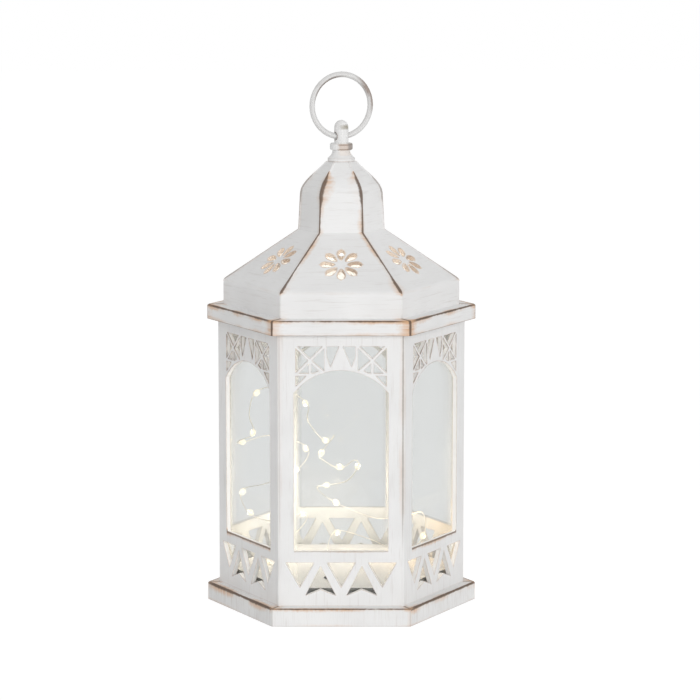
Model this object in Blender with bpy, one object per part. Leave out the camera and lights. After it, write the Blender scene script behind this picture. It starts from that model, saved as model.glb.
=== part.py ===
"""Six-sided decorative lantern with a battery light string, at its real size.

Metres, +Z up. The origin is the centre of the underside. The front panel faces -Y and
two opposite corners of the hexagon lie on the X axis.
"""

import math

import bmesh
import bpy
from mathutils import Matrix, Vector

# Fits
GAP = 0.0003  # between pieces that touch
RUNNING_GAP = 0.0005  # round what moves
SIDES = 6
HALF_TURN = math.pi
TAN30 = math.tan(math.radians(30))
COS30 = math.cos(math.radians(30))

# Plinth
PLINTH_FLATS = 0.125
PLINTH_HEIGHT = 0.0095
PLINTH_EDGE = 0.0005
SKIRT_WALL = 0.0020
SKIRT_LIP = 0.0012  # what is left of the skirt round the bottom plate
LEDGE_THICKNESS = 0.0018
LOCATING_RIB_WIDTH = 0.0018
LOCATING_RIB_HEIGHT = 0.0030
CURB_FLATS = 0.0996
CURB_WALL = 0.0018

# Walls and panes
WALL_FLATS = 0.1138
WALL_SHOWN = 0.1437  # from the ledge to the underside of the rim
PANEL_THICKNESS = 0.0025
PANE_THICKNESS = 0.0012
PANE_EDGE_GAP = 0.0005
PANEL_NAMES = ("front", "front_right", "back_right", "back", "back_left", "front_left")

# Pattern of a panel: x from its middle line, z from the ground
WINDOW_HALF = 0.0245
WINDOW_SILL = 0.0388
ARCH_RADIUS = 0.0310
ARCH_BAND = 0.0016
BAND_DROP = 0.0062  # from the rim down to the top of the pierced band
BAR_WIDTH = 0.0013
CELL_X = 0.0161
CELL_HALF = 0.0074
CELL_RISE = 0.0051  # from the arch's crown up to the middle of a crossed cell
LEAF_INNER = 0.0010
LEAF_OUTER = 0.0074
SILL_RAIL = 0.0060
TEETH_HEIGHT = 0.0132
TEETH_HALF = 0.0074
TEETH_PITCH = 0.0215
ARROW_DROP = 0.0018  # from the top of the teeth down to an arrowhead's point
ARROW_HEIGHT = 0.0157
ARROW_NOTCH = 0.0032
ARROW_HALF = 0.0079

# Roof
RIM_OVERHANG = 0.0051  # past the walls
RIM_HEIGHT = 0.0078
RIM_EDGE = 0.0006
RIM_SLOT_DEPTH = 0.0044
PANE_KEEPER_WIDTH = 0.0018
PANE_KEEPER_DROP = 0.0048
RISER_FLATS = 0.1090
RISER_HEIGHT = 0.0133
FOLD_RADIUS = 0.0045
SLOPE_RISE = 0.0270
DOME_FOOT_RADIUS = 0.0226
DOME_TOP_RADIUS = 0.0216
DOME_WALL_HEIGHT = 0.0192
SHOULDER_HEIGHT = 0.0168
SHOULDER_TOP_RADIUS = 0.0078
SHOULDER_BULGE = (0.985, 0.36)  # shares of the dome's radius and the shoulder's height
SHOULDER_HOLLOW = (0.565, 0.70)
ROOF_WALL = 0.0022
DOME_CROWN = 0.0045
HIP_WIDTH = 0.0020
HIP_FOOT = 0.5  # shares of the hip's width on each side of the corner
HIP_TOP = 0.2
HIP_RISE = 0.0005
ROSETTE_RADIUS = 0.0110
ROSETTE_DROP = 0.0012  # down the slope from its middle
ROSETTE_HUB = 0.0030
PETALS = 8
PETAL_HALF = 0.0020

# Finial, its screw and the carry ring
FOOT_RADIUS = 0.0072
FOOT_HEIGHT = 0.0014
NECK_RADIUS = 0.0047
NECK_HEIGHT = 0.0058
COLLAR_RADIUS = 0.0060
COLLAR_HEIGHT = 0.0034
EYE_WIDTH = 0.0088
EYE_DEPTH = 0.0073  # along the ring's wire
EYE_HEIGHT = 0.0123
EYE_DOME = 0.0040
EYE_HOLE = 0.0048
EYE_WALL = 0.0014  # under the hole
EYE_TURN = math.radians(21)
RING_PLAY = 0.0006
RING_WIRE = 0.0030
RING_OUTER = 0.0358
SCREW_SHANK = 0.0026
SCREW_HEAD = 0.0056
SCREW_HEAD_HEIGHT = 0.0018
FINIAL_SCREW_REACH = 0.0120

# Inside the base
FLOOR_TOP = 0.0183
FLOOR_THICKNESS = 0.0018
PLATE_BOTTOM = 0.0012
PLATE_THICKNESS = 0.0018
BAY_Y = 0.0060
BAY_HALF_LENGTH = 0.0266
BAY_WALL = 0.0030
BAY_REBATE = 0.0014  # the cover laps the bay's walls by this less its clearance
BAY_ROOF = 0.0014
COVER_CLEARANCE = 0.0004
CELL_DIAMETER = 0.0105
CELL_LENGTH = 0.0445
CELL_PITCH = 0.0111
CELLS = 3
NUB_RADIUS = 0.0019
NUB_HEIGHT = 0.0009
CONTACT_SIZE = 0.0074
CONTACT_THICKNESS = 0.0005
SPRING_WIRE = 0.0007
SPRING_BASE_RADIUS = 0.0034
SPRING_TIP_RADIUS = 0.0020
SPRING_TURNS = 3.5
SPRING_STEPS = 8  # points of each turn
BOSS_CIRCLE = 0.0440
BOSS_RADIUS = 0.0035
WELL_RADIUS = 0.0044
WELL_TOP = 0.0060
WELL_ROOF = 0.0016
BASE_SCREW_LENGTH = 0.0100
HOOK_Y = 0.0055
HOOK_WIDTH = 0.0040
HOOK_REACH = 0.0018
HOOK_NECK = 0.0020
HOOK_THICKNESS = 0.0010
LATCH_WIDTH = 0.0080
LATCH_HEIGHT = 0.0016
LATCH_THICKNESS = 0.0010
NOTCH_HALF = 0.0070
NOTCH_REACH = 0.0055
NOTCH_DEPTH = 0.0010

# Switch and board
BOARD_Y = -0.0320
BOARD_LENGTH = 0.0340
BOARD_DEPTH = 0.0150
BOARD_THICKNESS = 0.0012
BOARD_Z = 0.0092
BOARD_POST_RADIUS = 0.0020
BOARD_POST_X = 0.0135
SWITCH_LENGTH = 0.0110
SWITCH_DEPTH = 0.0048
SWITCH_WALL = 0.0010
KNOB_LENGTH = 0.0036
KNOB_DEPTH = 0.0022
KNOB_STEM = 0.0018
KNOB_END = 0.0006
KNOB_PAD_HEIGHT = 0.0014
KNOB_RIDGES = 4
KNOB_TRAVEL = 0.0040

# Light string
WIRE_DIAMETER = 0.0007
DROP_RADIUS = 0.0016
DROP_LENGTH = 0.0040
GROMMET_X = -0.0060
GROMMET_Y = -0.0300
GROMMET_NECK = 0.0022
GROMMET_FLANGE = 0.0034
GROMMET_LIP = 0.0006
WIRE_STEPS = 2
MEASURE_STEPS = 12
NEIGHBOUR_STRETCH = 0.0080  # along a wire, within which its gap to itself is not measured

# The wire's route through the chamber, chosen by hand; True where it carries a light drop
ROUTE = [
    (-0.0060, -0.0300, 0.0107, False),
    (-0.0060, -0.0300, 0.0160, False),
    (-0.0060, -0.0300, 0.0215, False),
    (-0.0075, -0.0240, 0.0310, False),
    (-0.0029, -0.0080, 0.0390, True),
    (0.0150, 0.0000, 0.0330, False),
    (0.0330, -0.0130, 0.0285, False),
    (0.0440, -0.0110, 0.0370, True),
    (0.0440, 0.0050, 0.0460, False),
    (0.0360, 0.0150, 0.0430, True),
    (0.0190, 0.0250, 0.0390, False),
    (-0.0035, 0.0220, 0.0485, True),
    (-0.0130, 0.0040, 0.0600, False),
    (-0.0081, -0.0140, 0.0653, True),
    (0.0030, -0.0250, 0.0700, False),
    (0.0089, -0.0240, 0.0776, True),
    (0.0070, -0.0040, 0.0770, False),
    (-0.0008, 0.0140, 0.0690, True),
    (-0.0100, 0.0020, 0.0760, False),
    (-0.0110, -0.0180, 0.0830, True),
    (-0.0040, -0.0020, 0.0900, False),
    (-0.0084, 0.0180, 0.0826, True),
    (-0.0180, 0.0080, 0.0960, False),
    (-0.0182, -0.0120, 0.1093, True),
    (-0.0330, -0.0140, 0.1180, False),
    (-0.0456, -0.0060, 0.1143, True),
    (-0.0490, -0.0120, 0.1030, False),
    (-0.0462, -0.0160, 0.0939, True),
    (-0.0545, -0.0060, 0.0880, False),
    (-0.0540, 0.0060, 0.0845, True),
    (-0.0370, 0.0150, 0.0870, False),
    (-0.0181, 0.0120, 0.0804, True),
    (-0.0239, -0.0140, 0.0735, True),
    (-0.0400, -0.0120, 0.0660, False),
    (-0.0540, 0.0020, 0.0590, True),
    (-0.0490, -0.0110, 0.0493, True),
    (-0.0340, -0.0200, 0.0470, False),
    (-0.0199, -0.0120, 0.0502, True),
    (-0.0200, 0.0080, 0.0400, False),
    (-0.0310, 0.0180, 0.0270, True),
    (-0.0460, 0.0080, 0.0215, False),
    (-0.0400, -0.0120, 0.0225, True),
    (-0.0300, -0.0200, 0.0205, False),
]

# Heights that follow
RIM_Z = PLINTH_HEIGHT + WALL_SHOWN
RISER_Z = RIM_Z + RIM_HEIGHT
FOLD_Z = RISER_Z + RISER_HEIGHT
DOME_Z = FOLD_Z + SLOPE_RISE
SHOULDER_Z = DOME_Z + DOME_WALL_HEIGHT
CROWN_Z = SHOULDER_Z + SHOULDER_HEIGHT
BAND_TOP = RIM_Z - BAND_DROP
CELL_Z = BAND_TOP - CELL_HALF
ARCH_CROWN = CELL_Z - CELL_RISE
TEETH_TOP = WINDOW_SILL - SILL_RAIL
TEETH_APEX = TEETH_TOP - TEETH_HEIGHT
ARROW_APEX = TEETH_TOP - ARROW_DROP
ARROW_FOOT = ARROW_APEX - ARROW_HEIGHT
PLATE_TOP = PLATE_BOTTOM + PLATE_THICKNESS
FLOOR_BOTTOM = FLOOR_TOP - FLOOR_THICKNESS
FOOT_Z = CROWN_Z + GAP
NECK_Z = FOOT_Z + FOOT_HEIGHT
COLLAR_Z = FOOT_Z + NECK_HEIGHT
EYE_FOOT_Z = COLLAR_Z + COLLAR_HEIGHT
EYE_TOP_Z = EYE_FOOT_Z + EYE_HEIGHT
HOLE_Z = EYE_FOOT_Z + EYE_WALL + EYE_HOLE / 2
RING_PIVOT_Z = EYE_FOOT_Z + EYE_WALL + RING_PLAY + RING_WIRE / 2
BAY_FLOOR = PLATE_TOP + GAP
CELL_Z_AXIS = BAY_FLOOR + RUNNING_GAP + CELL_DIAMETER / 2
BAY_CEILING = CELL_Z_AXIS + CELL_DIAMETER / 2 + RUNNING_GAP
HOOK_TOP = BAY_FLOOR + HOOK_THICKNESS
BASE_SCREW_HEAD_Z = WELL_TOP - WELL_ROOF - GAP

# Distances of the faces from the middle that follow
WALL_OUTER = WALL_FLATS / 2
WALL_INNER = WALL_OUTER - PANEL_THICKNESS
PANE_OUTER = WALL_INNER - GAP
PANE_INNER = PANE_OUTER - PANE_THICKNESS
PANEL_TOP = RIM_Z + RIM_SLOT_DEPTH - GAP
RIB_TOP = PLINTH_HEIGHT + LOCATING_RIB_HEIGHT
SLOPE_FOOT = DOME_FOOT_RADIUS * COS30
FOLD_AT = RISER_FLATS / 2
RING_RADIUS = (RING_OUTER - RING_WIRE) / 2
SCREW_BORE = SCREW_SHANK / 2 + GAP
BAY_HALF_WIDTH = CELL_PITCH * (CELLS - 1) / 2 + CELL_DIAMETER / 2 + COVER_CLEARANCE
COVER_HALF_LENGTH = BAY_HALF_LENGTH + BAY_REBATE - COVER_CLEARANCE
COVER_HALF_WIDTH = BAY_HALF_WIDTH + BAY_REBATE - COVER_CLEARANCE
HINGE_X = -(COVER_HALF_LENGTH + COVER_CLEARANCE / 2)


def clear_scene():
    for item in list(bpy.data.objects):
        bpy.data.objects.remove(item, do_unlink=True)


def material(name, colour, roughness, metallic=0.0, alpha=1.0):
    made = bpy.data.materials.get(name)
    if made:
        return made
    made = bpy.data.materials.new(name)
    made.use_nodes = True
    shader = made.node_tree.nodes["Principled BSDF"]
    shader.inputs["Base Color"].default_value = (*colour, 1.0)
    shader.inputs["Roughness"].default_value = roughness
    shader.inputs["Metallic"].default_value = metallic
    shader.inputs["Alpha"].default_value = alpha
    made.diffuse_color = (*colour, alpha)
    return made


def whitewash():
    return material("whitewashed_plastic", (0.82, 0.80, 0.77), 0.55)


def clear_plastic():
    return material("clear_plastic", (0.90, 0.93, 0.93), 0.08, alpha=0.25)


def ivory_plastic():
    return material("ivory_plastic", (0.78, 0.76, 0.72), 0.50)


def black_plastic():
    return material("black_plastic", (0.03, 0.03, 0.03), 0.45)


def plated_steel():
    return material("plated_steel", (0.62, 0.61, 0.58), 0.30, 1.0)


def finish(body, paint):
    """Give an object its material, and shade its round faces smooth."""
    body.data.materials.clear()
    body.data.materials.append(paint)
    body.data.shade_smooth()
    body.data.set_sharp_from_angle(angle=math.radians(35))
    return body


def add_object(name, mesh):
    body = bpy.data.objects.new(name, mesh)
    bpy.context.scene.collection.objects.link(body)
    return body


def mesh_from(name, work):
    """Turn a bmesh into a mesh with its faces pointing out."""
    bmesh.ops.remove_doubles(work, verts=work.verts, dist=1e-7)
    bmesh.ops.recalc_face_normals(work, faces=work.faces)
    mesh = bpy.data.meshes.new(name)
    work.to_mesh(mesh)
    work.free()
    return mesh


def add_rings(work, rings, closed):
    """Skin rings of as many points each; an open skin gets a cap at each end."""
    made = [[work.verts.new(point) for point in ring] for ring in rings]
    count = len(rings[0])
    last = len(made) if closed else len(made) - 1
    for i in range(last):
        low, high = made[i], made[(i + 1) % len(made)]
        for k in range(count):
            work.faces.new((low[k], low[(k + 1) % count], high[(k + 1) % count], high[k]))
    if not closed:
        work.faces.new(made[0])
        work.faces.new(list(reversed(made[-1])))


def hexagon_ring(flat, z, hip=0.0):
    """Hexagon at a distance flat from the middle, each corner eased, or raised into a hip bead."""
    corner = flat / COS30
    width = min(HIP_WIDTH, corner / 4)
    points = []
    for k in range(SIDES):
        angle = k * HALF_TURN / 3
        out = Vector((math.cos(angle), math.sin(angle), 0.0))
        before = Matrix.Rotation(-2 * HALF_TURN / 3, 3, "Z") @ out
        after = Matrix.Rotation(2 * HALF_TURN / 3, 3, "Z") @ out
        base = out * corner + Vector((0.0, 0.0, z))
        raised = base + out * hip
        points.append(base + before * width * HIP_FOOT)
        points.append(raised + before * width * HIP_TOP)
        points.append(raised + after * width * HIP_TOP)
        points.append(base + after * width * HIP_FOOT)
    return points


def hexagon_frame(name, profile):
    """Closed section of (flat, z) or (flat, z, hip) points carried round the hexagon."""
    work = bmesh.new()
    add_rings(work, [hexagon_ring(*point) for point in profile], closed=True)
    return mesh_from(name, work)


def hexagon_plate(name, flat, bottom, top):
    work = bmesh.new()
    add_rings(work, [hexagon_ring(flat, bottom), hexagon_ring(flat, top)], closed=False)
    return mesh_from(name, work)


def add_prism(work, outline, low, high, place):
    """Prism of an outline; place turns (u, v, depth) into a point."""
    rings = [[place(u, v, depth) for u, v in outline] for depth in (low, high)]
    add_rings(work, rings, closed=False)


def upright(x, z, y):
    return Vector((x, y, z))


def level(x, y, z):
    return Vector((x, y, z))


def prisms(name, outlines, low, high, place):
    work = bmesh.new()
    for outline in outlines:
        add_prism(work, outline, low, high, place)
    return mesh_from(name, work)


def box_outline(x, y, half_x, half_y):
    return [
        (x - half_x, y - half_y),
        (x + half_x, y - half_y),
        (x + half_x, y + half_y),
        (x - half_x, y + half_y),
    ]


def box(name, x, y, half_x, half_y, low, high):
    return prisms(name, [box_outline(x, y, half_x, half_y)], low, high, level)


def turned(name, profile, segments, closed=False):
    """Turn (radius, z) points round the Z axis; a closed section makes a ring."""
    work = bmesh.new()
    points = [work.verts.new((radius, 0.0, z)) for radius, z in profile]
    edges = [work.edges.new((a, b)) for a, b in zip(points, points[1:])]
    if closed:
        edges.append(work.edges.new((points[-1], points[0])))
    bmesh.ops.spin(
        work,
        geom=points + edges,
        cent=(0.0, 0.0, 0.0),
        axis=(0.0, 0.0, 1.0),
        angle=2 * HALF_TURN,
        steps=segments,
        use_merge=True,
    )
    return mesh_from(name, work)


def circle_section(radius, at_radius, at_z, count):
    steps = [2 * HALF_TURN * k / count for k in range(count)]
    return [(at_radius + radius * math.cos(a), at_z + radius * math.sin(a)) for a in steps]


def tube(name, points, diameter, resolution, paint):
    """Round wire through the points, with filled ends."""
    path = bpy.data.curves.new(name, "CURVE")
    path.dimensions = "3D"
    path.bevel_depth = diameter / 2
    path.bevel_resolution = resolution
    path.use_fill_caps = True
    line = path.splines.new("POLY")
    line.points.add(len(points) - 1)
    for spot, point in zip(line.points, points):
        spot.co = (*point, 1.0)
    path.materials.append(paint)
    return add_object(name, path)


def report_gap(name, points, diameter):
    """Print a wire's least clear distance to itself, past what neighbours each point."""
    walked = [0.0]
    for start, end in zip(points, points[1:]):
        walked.append(walked[-1] + (end - start).length)
    gaps = []
    for i, point in enumerate(points):
        for k in range(i + 1, len(points)):
            if walked[k] - walked[i] > NEIGHBOUR_STRETCH:
                gaps.append((points[k] - point).length - diameter)
    print(name, "least gap to itself:", round(min(gaps) * 1000, 2), "mm")


def cutter(name, mesh):
    body = add_object(name, mesh)
    body.hide_render = True
    body.display_type = "WIRE"
    return body


def combine(body, operation, name, mesh):
    """Join a shape to a body, or cut it out, with a Boolean modifier."""
    step = body.modifiers.new(name, "BOOLEAN")
    step.operation = operation
    step.solver = "EXACT"
    step.object = cutter(name, mesh)
    return step


def settled_mesh(body, name):
    """The mesh of a body with its modifiers worked out."""
    bpy.context.view_layer.update()
    graph = bpy.context.evaluated_depsgraph_get()
    mesh = bpy.data.meshes.new_from_object(body.evaluated_get(graph), depsgraph=graph)
    mesh.name = name
    return mesh


def mirrored(outline):
    return [(-x, z) for x, z in reversed(outline)]


def arch_height(x, radius):
    centre = ARCH_CROWN - ARCH_RADIUS
    return centre + math.sqrt(max(radius * radius - x * x, 0.0))


def window_outline():
    """Sill, jambs and a segmental arch."""
    steps = 14
    arch = []
    for k in range(steps + 1):
        x = WINDOW_HALF - 2 * WINDOW_HALF * k / steps
        arch.append((x, arch_height(x, ARCH_RADIUS)))
    return [(-WINDOW_HALF, WINDOW_SILL), (WINDOW_HALF, WINDOW_SILL)] + arch


def cell_outlines():
    """Five holes between crossed bars with a spoke down, and the spandrel hole under them."""
    edge = CELL_HALF
    bar = BAR_WIDTH / 2
    slant = bar * math.sqrt(2)
    band = ARCH_RADIUS + ARCH_BAND

    def over_band(x, z):
        return (CELL_X + x, max(CELL_Z + z, arch_height(CELL_X + x, band)))

    top = [
        (CELL_X - edge + slant, CELL_Z + edge),
        (CELL_X, CELL_Z + slant),
        (CELL_X + edge - slant, CELL_Z + edge),
    ]
    right = [
        (CELL_X + edge, CELL_Z - edge + slant),
        (CELL_X + edge, CELL_Z + edge - slant),
        (CELL_X + slant, CELL_Z),
    ]
    left = [
        (CELL_X - edge, CELL_Z + edge - slant),
        (CELL_X - edge, CELL_Z - edge + 2 * slant),
        (CELL_X - slant, CELL_Z),
    ]
    foot = -edge + bar
    spoke = slant + bar
    low_left = [
        (CELL_X - bar, CELL_Z - spoke),
        (CELL_X - edge * 0.60, CELL_Z - edge * 0.60 - slant),
        over_band(-edge * 0.30, foot),
        over_band(-bar, foot),
    ]
    low_right = [
        (CELL_X + bar, CELL_Z - spoke),
        over_band(bar, foot),
        (CELL_X + edge - slant - bar, CELL_Z + foot),
    ]
    under = CELL_Z - edge - bar
    side = CELL_X + edge
    tip = CELL_X + bar * 3
    middle = (side + tip) / 2
    spandrel = [
        (side, arch_height(side, band)),
        (middle, arch_height(middle, band)),
        (tip, under),
        (side, under),
    ]
    return [top, right, left, low_left, low_right, spandrel]


def leaf_outline():
    """Hole between the solid middle triangle and the first crossed cell."""
    foot_x = LEAF_OUTER - BAR_WIDTH
    foot_z = arch_height(foot_x, ARCH_RADIUS + ARCH_BAND) + BAR_WIDTH / 2
    return [
        (LEAF_INNER, BAND_TOP),
        (foot_x - BAR_WIDTH / 2, foot_z),
        (LEAF_OUTER, foot_z + (BAND_TOP - foot_z) / 2),
        (LEAF_OUTER, BAND_TOP),
    ]


def tooth_outlines():
    """Row of triangles that stand on their points, with notched arrowheads between."""
    teeth = []
    for k in (-1, 0, 1):
        x = k * TEETH_PITCH
        teeth.append([(x - TEETH_HALF, TEETH_TOP), (x, TEETH_APEX), (x + TEETH_HALF, TEETH_TOP)])
    for side in (-1, 1):
        x = side * TEETH_PITCH / 2
        left, right = (x - ARROW_HALF, ARROW_FOOT), (x + ARROW_HALF, ARROW_FOOT)
        teeth.append([left, (x, ARROW_FOOT + ARROW_NOTCH), right, (x, ARROW_APEX)])
    return teeth


def panel_mesh():
    """Mitred panel, front side at -Y, with its window and pierced pattern cut through."""
    seam = GAP / 2 / COS30
    outer = WALL_OUTER * TAN30 - seam
    inner = WALL_INNER * TAN30 - seam
    low, high = PLINTH_HEIGHT + GAP, PANEL_TOP
    rings = []
    for z in (low, high):
        front = [(-outer, -WALL_OUTER, z), (outer, -WALL_OUTER, z)]
        rings.append(front + [(inner, -WALL_INNER, z), (-inner, -WALL_INNER, z)])
    work = bmesh.new()
    add_rings(work, rings, closed=False)
    blank = add_object("panel_blank", mesh_from("panel_blank", work))
    holes = [window_outline()] + tooth_outlines()
    for outline in cell_outlines() + [leaf_outline()]:
        holes += [outline, mirrored(outline)]
    overshoot = PANEL_THICKNESS
    cut = prisms("panel_holes", holes, -WALL_OUTER - overshoot, -WALL_INNER + overshoot, upright)
    step = combine(blank, "DIFFERENCE", "panel_holes", cut)
    mesh = settled_mesh(blank, "wall_panel")
    bpy.data.objects.remove(step.object, do_unlink=True)
    bpy.data.objects.remove(blank, do_unlink=True)
    return mesh


def make_walls():
    panel = panel_mesh()
    pane_half = PANE_INNER * TAN30 - PANE_EDGE_GAP
    middle = -(PANE_OUTER + PANE_INNER) / 2
    pane = box("pane", 0.0, middle, pane_half, PANE_THICKNESS / 2, RIB_TOP + GAP, PANEL_TOP - GAP)
    for k, side in enumerate(PANEL_NAMES):
        turn = k * HALF_TURN / 3
        wall = finish(add_object("wall_panel_" + side, panel), whitewash())
        wall.rotation_euler = (0.0, 0.0, turn)
        glazing = finish(add_object("pane_" + side, pane), clear_plastic())
        glazing.rotation_euler = (0.0, 0.0, turn)


def make_plinth():
    outer = PLINTH_FLATS / 2
    rib_outer = PANE_OUTER
    rib_inner = rib_outer - LOCATING_RIB_WIDTH
    curb_outer = CURB_FLATS / 2
    curb_inner = curb_outer - CURB_WALL
    ledge_under = PLINTH_HEIGHT - LEDGE_THICKNESS
    shoulder = PLATE_TOP + GAP
    section = [
        (outer, 0.0),
        (outer, PLINTH_HEIGHT - PLINTH_EDGE),
        (outer - PLINTH_EDGE, PLINTH_HEIGHT),
        (rib_outer, PLINTH_HEIGHT),
        (rib_outer, RIB_TOP),
        (rib_inner, RIB_TOP),
        (rib_inner, PLINTH_HEIGHT),
        (curb_outer, PLINTH_HEIGHT),
        (curb_outer, FLOOR_BOTTOM - GAP),
        (curb_inner, FLOOR_BOTTOM - GAP),
        (curb_inner, ledge_under),
        (outer - SKIRT_WALL, ledge_under),
        (outer - SKIRT_WALL, shoulder),
        (outer - SKIRT_LIP, shoulder),
        (outer - SKIRT_LIP, 0.0),
    ]
    finish(add_object("base_plinth", hexagon_frame("base_plinth", section)), whitewash())


def fold_points():
    """Rounded fold between the riser and the slope, as (flat, z)."""
    lean = math.atan2(FOLD_AT - SLOPE_FOOT, SLOPE_RISE)
    reach = FOLD_RADIUS * math.tan(lean / 2)
    centre = (FOLD_AT - FOLD_RADIUS, FOLD_Z - reach)
    steps = 5
    points = []
    for k in range(steps + 1):
        angle = lean * k / steps
        flat = centre[0] + FOLD_RADIUS * math.cos(angle)
        points.append((flat, centre[1] + FOLD_RADIUS * math.sin(angle)))
    return points


def shoulder_points():
    """The dome's rounded shoulder, which runs out into a hollow neck, as (flat, z)."""
    handles = [(DOME_TOP_RADIUS, SHOULDER_Z)]
    for wide, tall in (SHOULDER_BULGE, SHOULDER_HOLLOW):
        handles.append((DOME_TOP_RADIUS * wide, SHOULDER_Z + SHOULDER_HEIGHT * tall))
    handles.append((SHOULDER_TOP_RADIUS, CROWN_Z))
    steps = 8
    points = []
    for k in range(steps + 1):
        t = k / steps
        weights = ((1 - t) ** 3, 3 * t * (1 - t) ** 2, 3 * t * t * (1 - t), t ** 3)
        radius = sum(w * h[0] for w, h in zip(weights, handles))
        z = sum(w * h[1] for w, h in zip(weights, handles))
        points.append((radius * COS30, z))
    return points


def offset_inward(points, distance):
    """Points moved square to their line, to its inner side."""
    moved = []
    for k, (flat, z) in enumerate(points):
        before = points[max(k - 1, 0)]
        after = points[min(k + 1, len(points) - 1)]
        sides = []
        for start, end in ((before, (flat, z)), ((flat, z), after)):
            run = Vector((end[0] - start[0], end[1] - start[1]))
            if run.length > 0:
                run.normalize()
                sides.append(Vector((-run.y, run.x)))
        across = sum(sides, Vector((0.0, 0.0))).normalized()
        stretch = distance / max(across.dot(sides[0]), 0.5)
        moved.append((flat + across.x * stretch, z + across.y * stretch))
    return moved


def cut_above(points, top):
    """The points below a height, with the one where the line crosses it."""
    kept = []
    for (flat, z), (next_flat, next_z) in zip(points, points[1:]):
        if z < top:
            kept.append((flat, z))
        if z < top <= next_z:
            share = (top - z) / (next_z - z)
            kept.append((flat + (next_flat - flat) * share, top))
    return kept


def roof_section():
    rim = WALL_OUTER + RIM_OVERHANG
    keeper_outer = PANE_INNER - GAP
    keeper_inner = keeper_outer - PANE_KEEPER_WIDTH
    slot_outer = WALL_OUTER + GAP
    slot_top = RIM_Z + RIM_SLOT_DEPTH
    bare = [(rim, RIM_Z), (rim, RISER_Z - RIM_EDGE), (rim - RIM_EDGE, RISER_Z), (FOLD_AT, RISER_Z)]
    fold = fold_points()
    shoulder = shoulder_points()
    outer_line = [(FOLD_AT, RISER_Z)] + fold + [(SLOPE_FOOT, DOME_Z)] + shoulder
    inner_line = cut_above(offset_inward(outer_line, ROOF_WALL), CROWN_Z - DOME_CROWN)
    inner_line[0] = (inner_line[0][0], RISER_Z)
    section = [(flat, z, 0.0) for flat, z in bare + fold[:2]]
    section += [(flat, z, HIP_RISE) for flat, z in fold[2:] + [(SLOPE_FOOT, DOME_Z)] + shoulder]
    section += [(SCREW_BORE, CROWN_Z, 0.0), (SCREW_BORE, CROWN_Z - DOME_CROWN, 0.0)]
    section += [(flat, z, 0.0) for flat, z in reversed(inner_line)]
    section += [
        (keeper_inner, RISER_Z - ROOF_WALL, 0.0),
        (keeper_inner, RIM_Z - PANE_KEEPER_DROP, 0.0),
        (keeper_outer, RIM_Z - PANE_KEEPER_DROP, 0.0),
        (keeper_outer, slot_top, 0.0),
        (slot_outer, slot_top, 0.0),
        (slot_outer, RIM_Z, 0.0),
    ]
    return section


def petal_outline(angle):
    """Drop-shaped hole, pointed at the rosette's hub and round at its outer end."""
    steps = 5
    fullest = 1.5  # above 1, the petal is widest past its middle
    length = ROSETTE_RADIUS - ROSETTE_HUB
    left, right = [], []
    for k in range(steps + 1):
        share = (1 - math.cos(HALF_TURN * k / steps)) / 2
        along = ROSETTE_HUB + length * share
        wide = PETAL_HALF * math.sqrt(abs(math.sin(HALF_TURN * share**fullest)))
        left.append((along, wide))
        right.append((along, -wide))
    ring = left + list(reversed(right[1:-1]))
    turn = Matrix.Rotation(angle, 2)
    return [tuple(turn @ Vector(point)) for point in ring]


def rosette_cutters():
    """Petal prisms square to each slope face."""
    lean = math.atan2(SLOPE_RISE, FOLD_AT - SLOPE_FOOT)
    up_slope = Vector((0.0, math.cos(lean), math.sin(lean)))
    middle = Vector((0.0, -(FOLD_AT + SLOPE_FOOT) / 2, FOLD_Z + SLOPE_RISE / 2)) - up_slope * ROSETTE_DROP
    outward = Vector((0.0, -math.sin(lean), math.cos(lean)))
    across = Vector((1.0, 0.0, 0.0))
    work = bmesh.new()
    for side in range(SIDES):
        turn = Matrix.Rotation(side * HALF_TURN / 3, 3, "Z")

        def on_slope(u, v, depth):
            return turn @ (middle + across * u + up_slope * v + outward * depth)

        for petal in range(PETALS):
            outline = petal_outline(petal * 2 * HALF_TURN / PETALS)
            add_prism(work, outline, -2 * ROOF_WALL, ROOF_WALL, on_slope)
    return mesh_from("rosette_petals", work)


def make_roof():
    roof = add_object("roof", hexagon_frame("roof", roof_section()))
    combine(roof, "DIFFERENCE", "rosette_petals", rosette_cutters())
    finish(roof, whitewash())


def eye_post(place):
    """Post of oval section with a domed top, from inside the collar up."""
    spring = EYE_TOP_Z - EYE_DOME
    steps = 4
    levels = [(1.0, EYE_FOOT_Z - COLLAR_HEIGHT / 4), (1.0, spring)]
    for k in range(1, steps + 1):
        angle = HALF_TURN / 2 * k / (steps + 0.5)
        levels.append((math.cos(angle), spring + EYE_DOME * math.sin(angle)))
    rings = []
    for share, z in levels:
        oval = circle_section(share, 0.0, 0.0, 16)
        rings.append([place(x * EYE_DEPTH / 2, y * EYE_WIDTH / 2, z) for x, y in oval])
    work = bmesh.new()
    add_rings(work, rings, closed=False)
    return mesh_from("eye_post", work)


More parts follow.
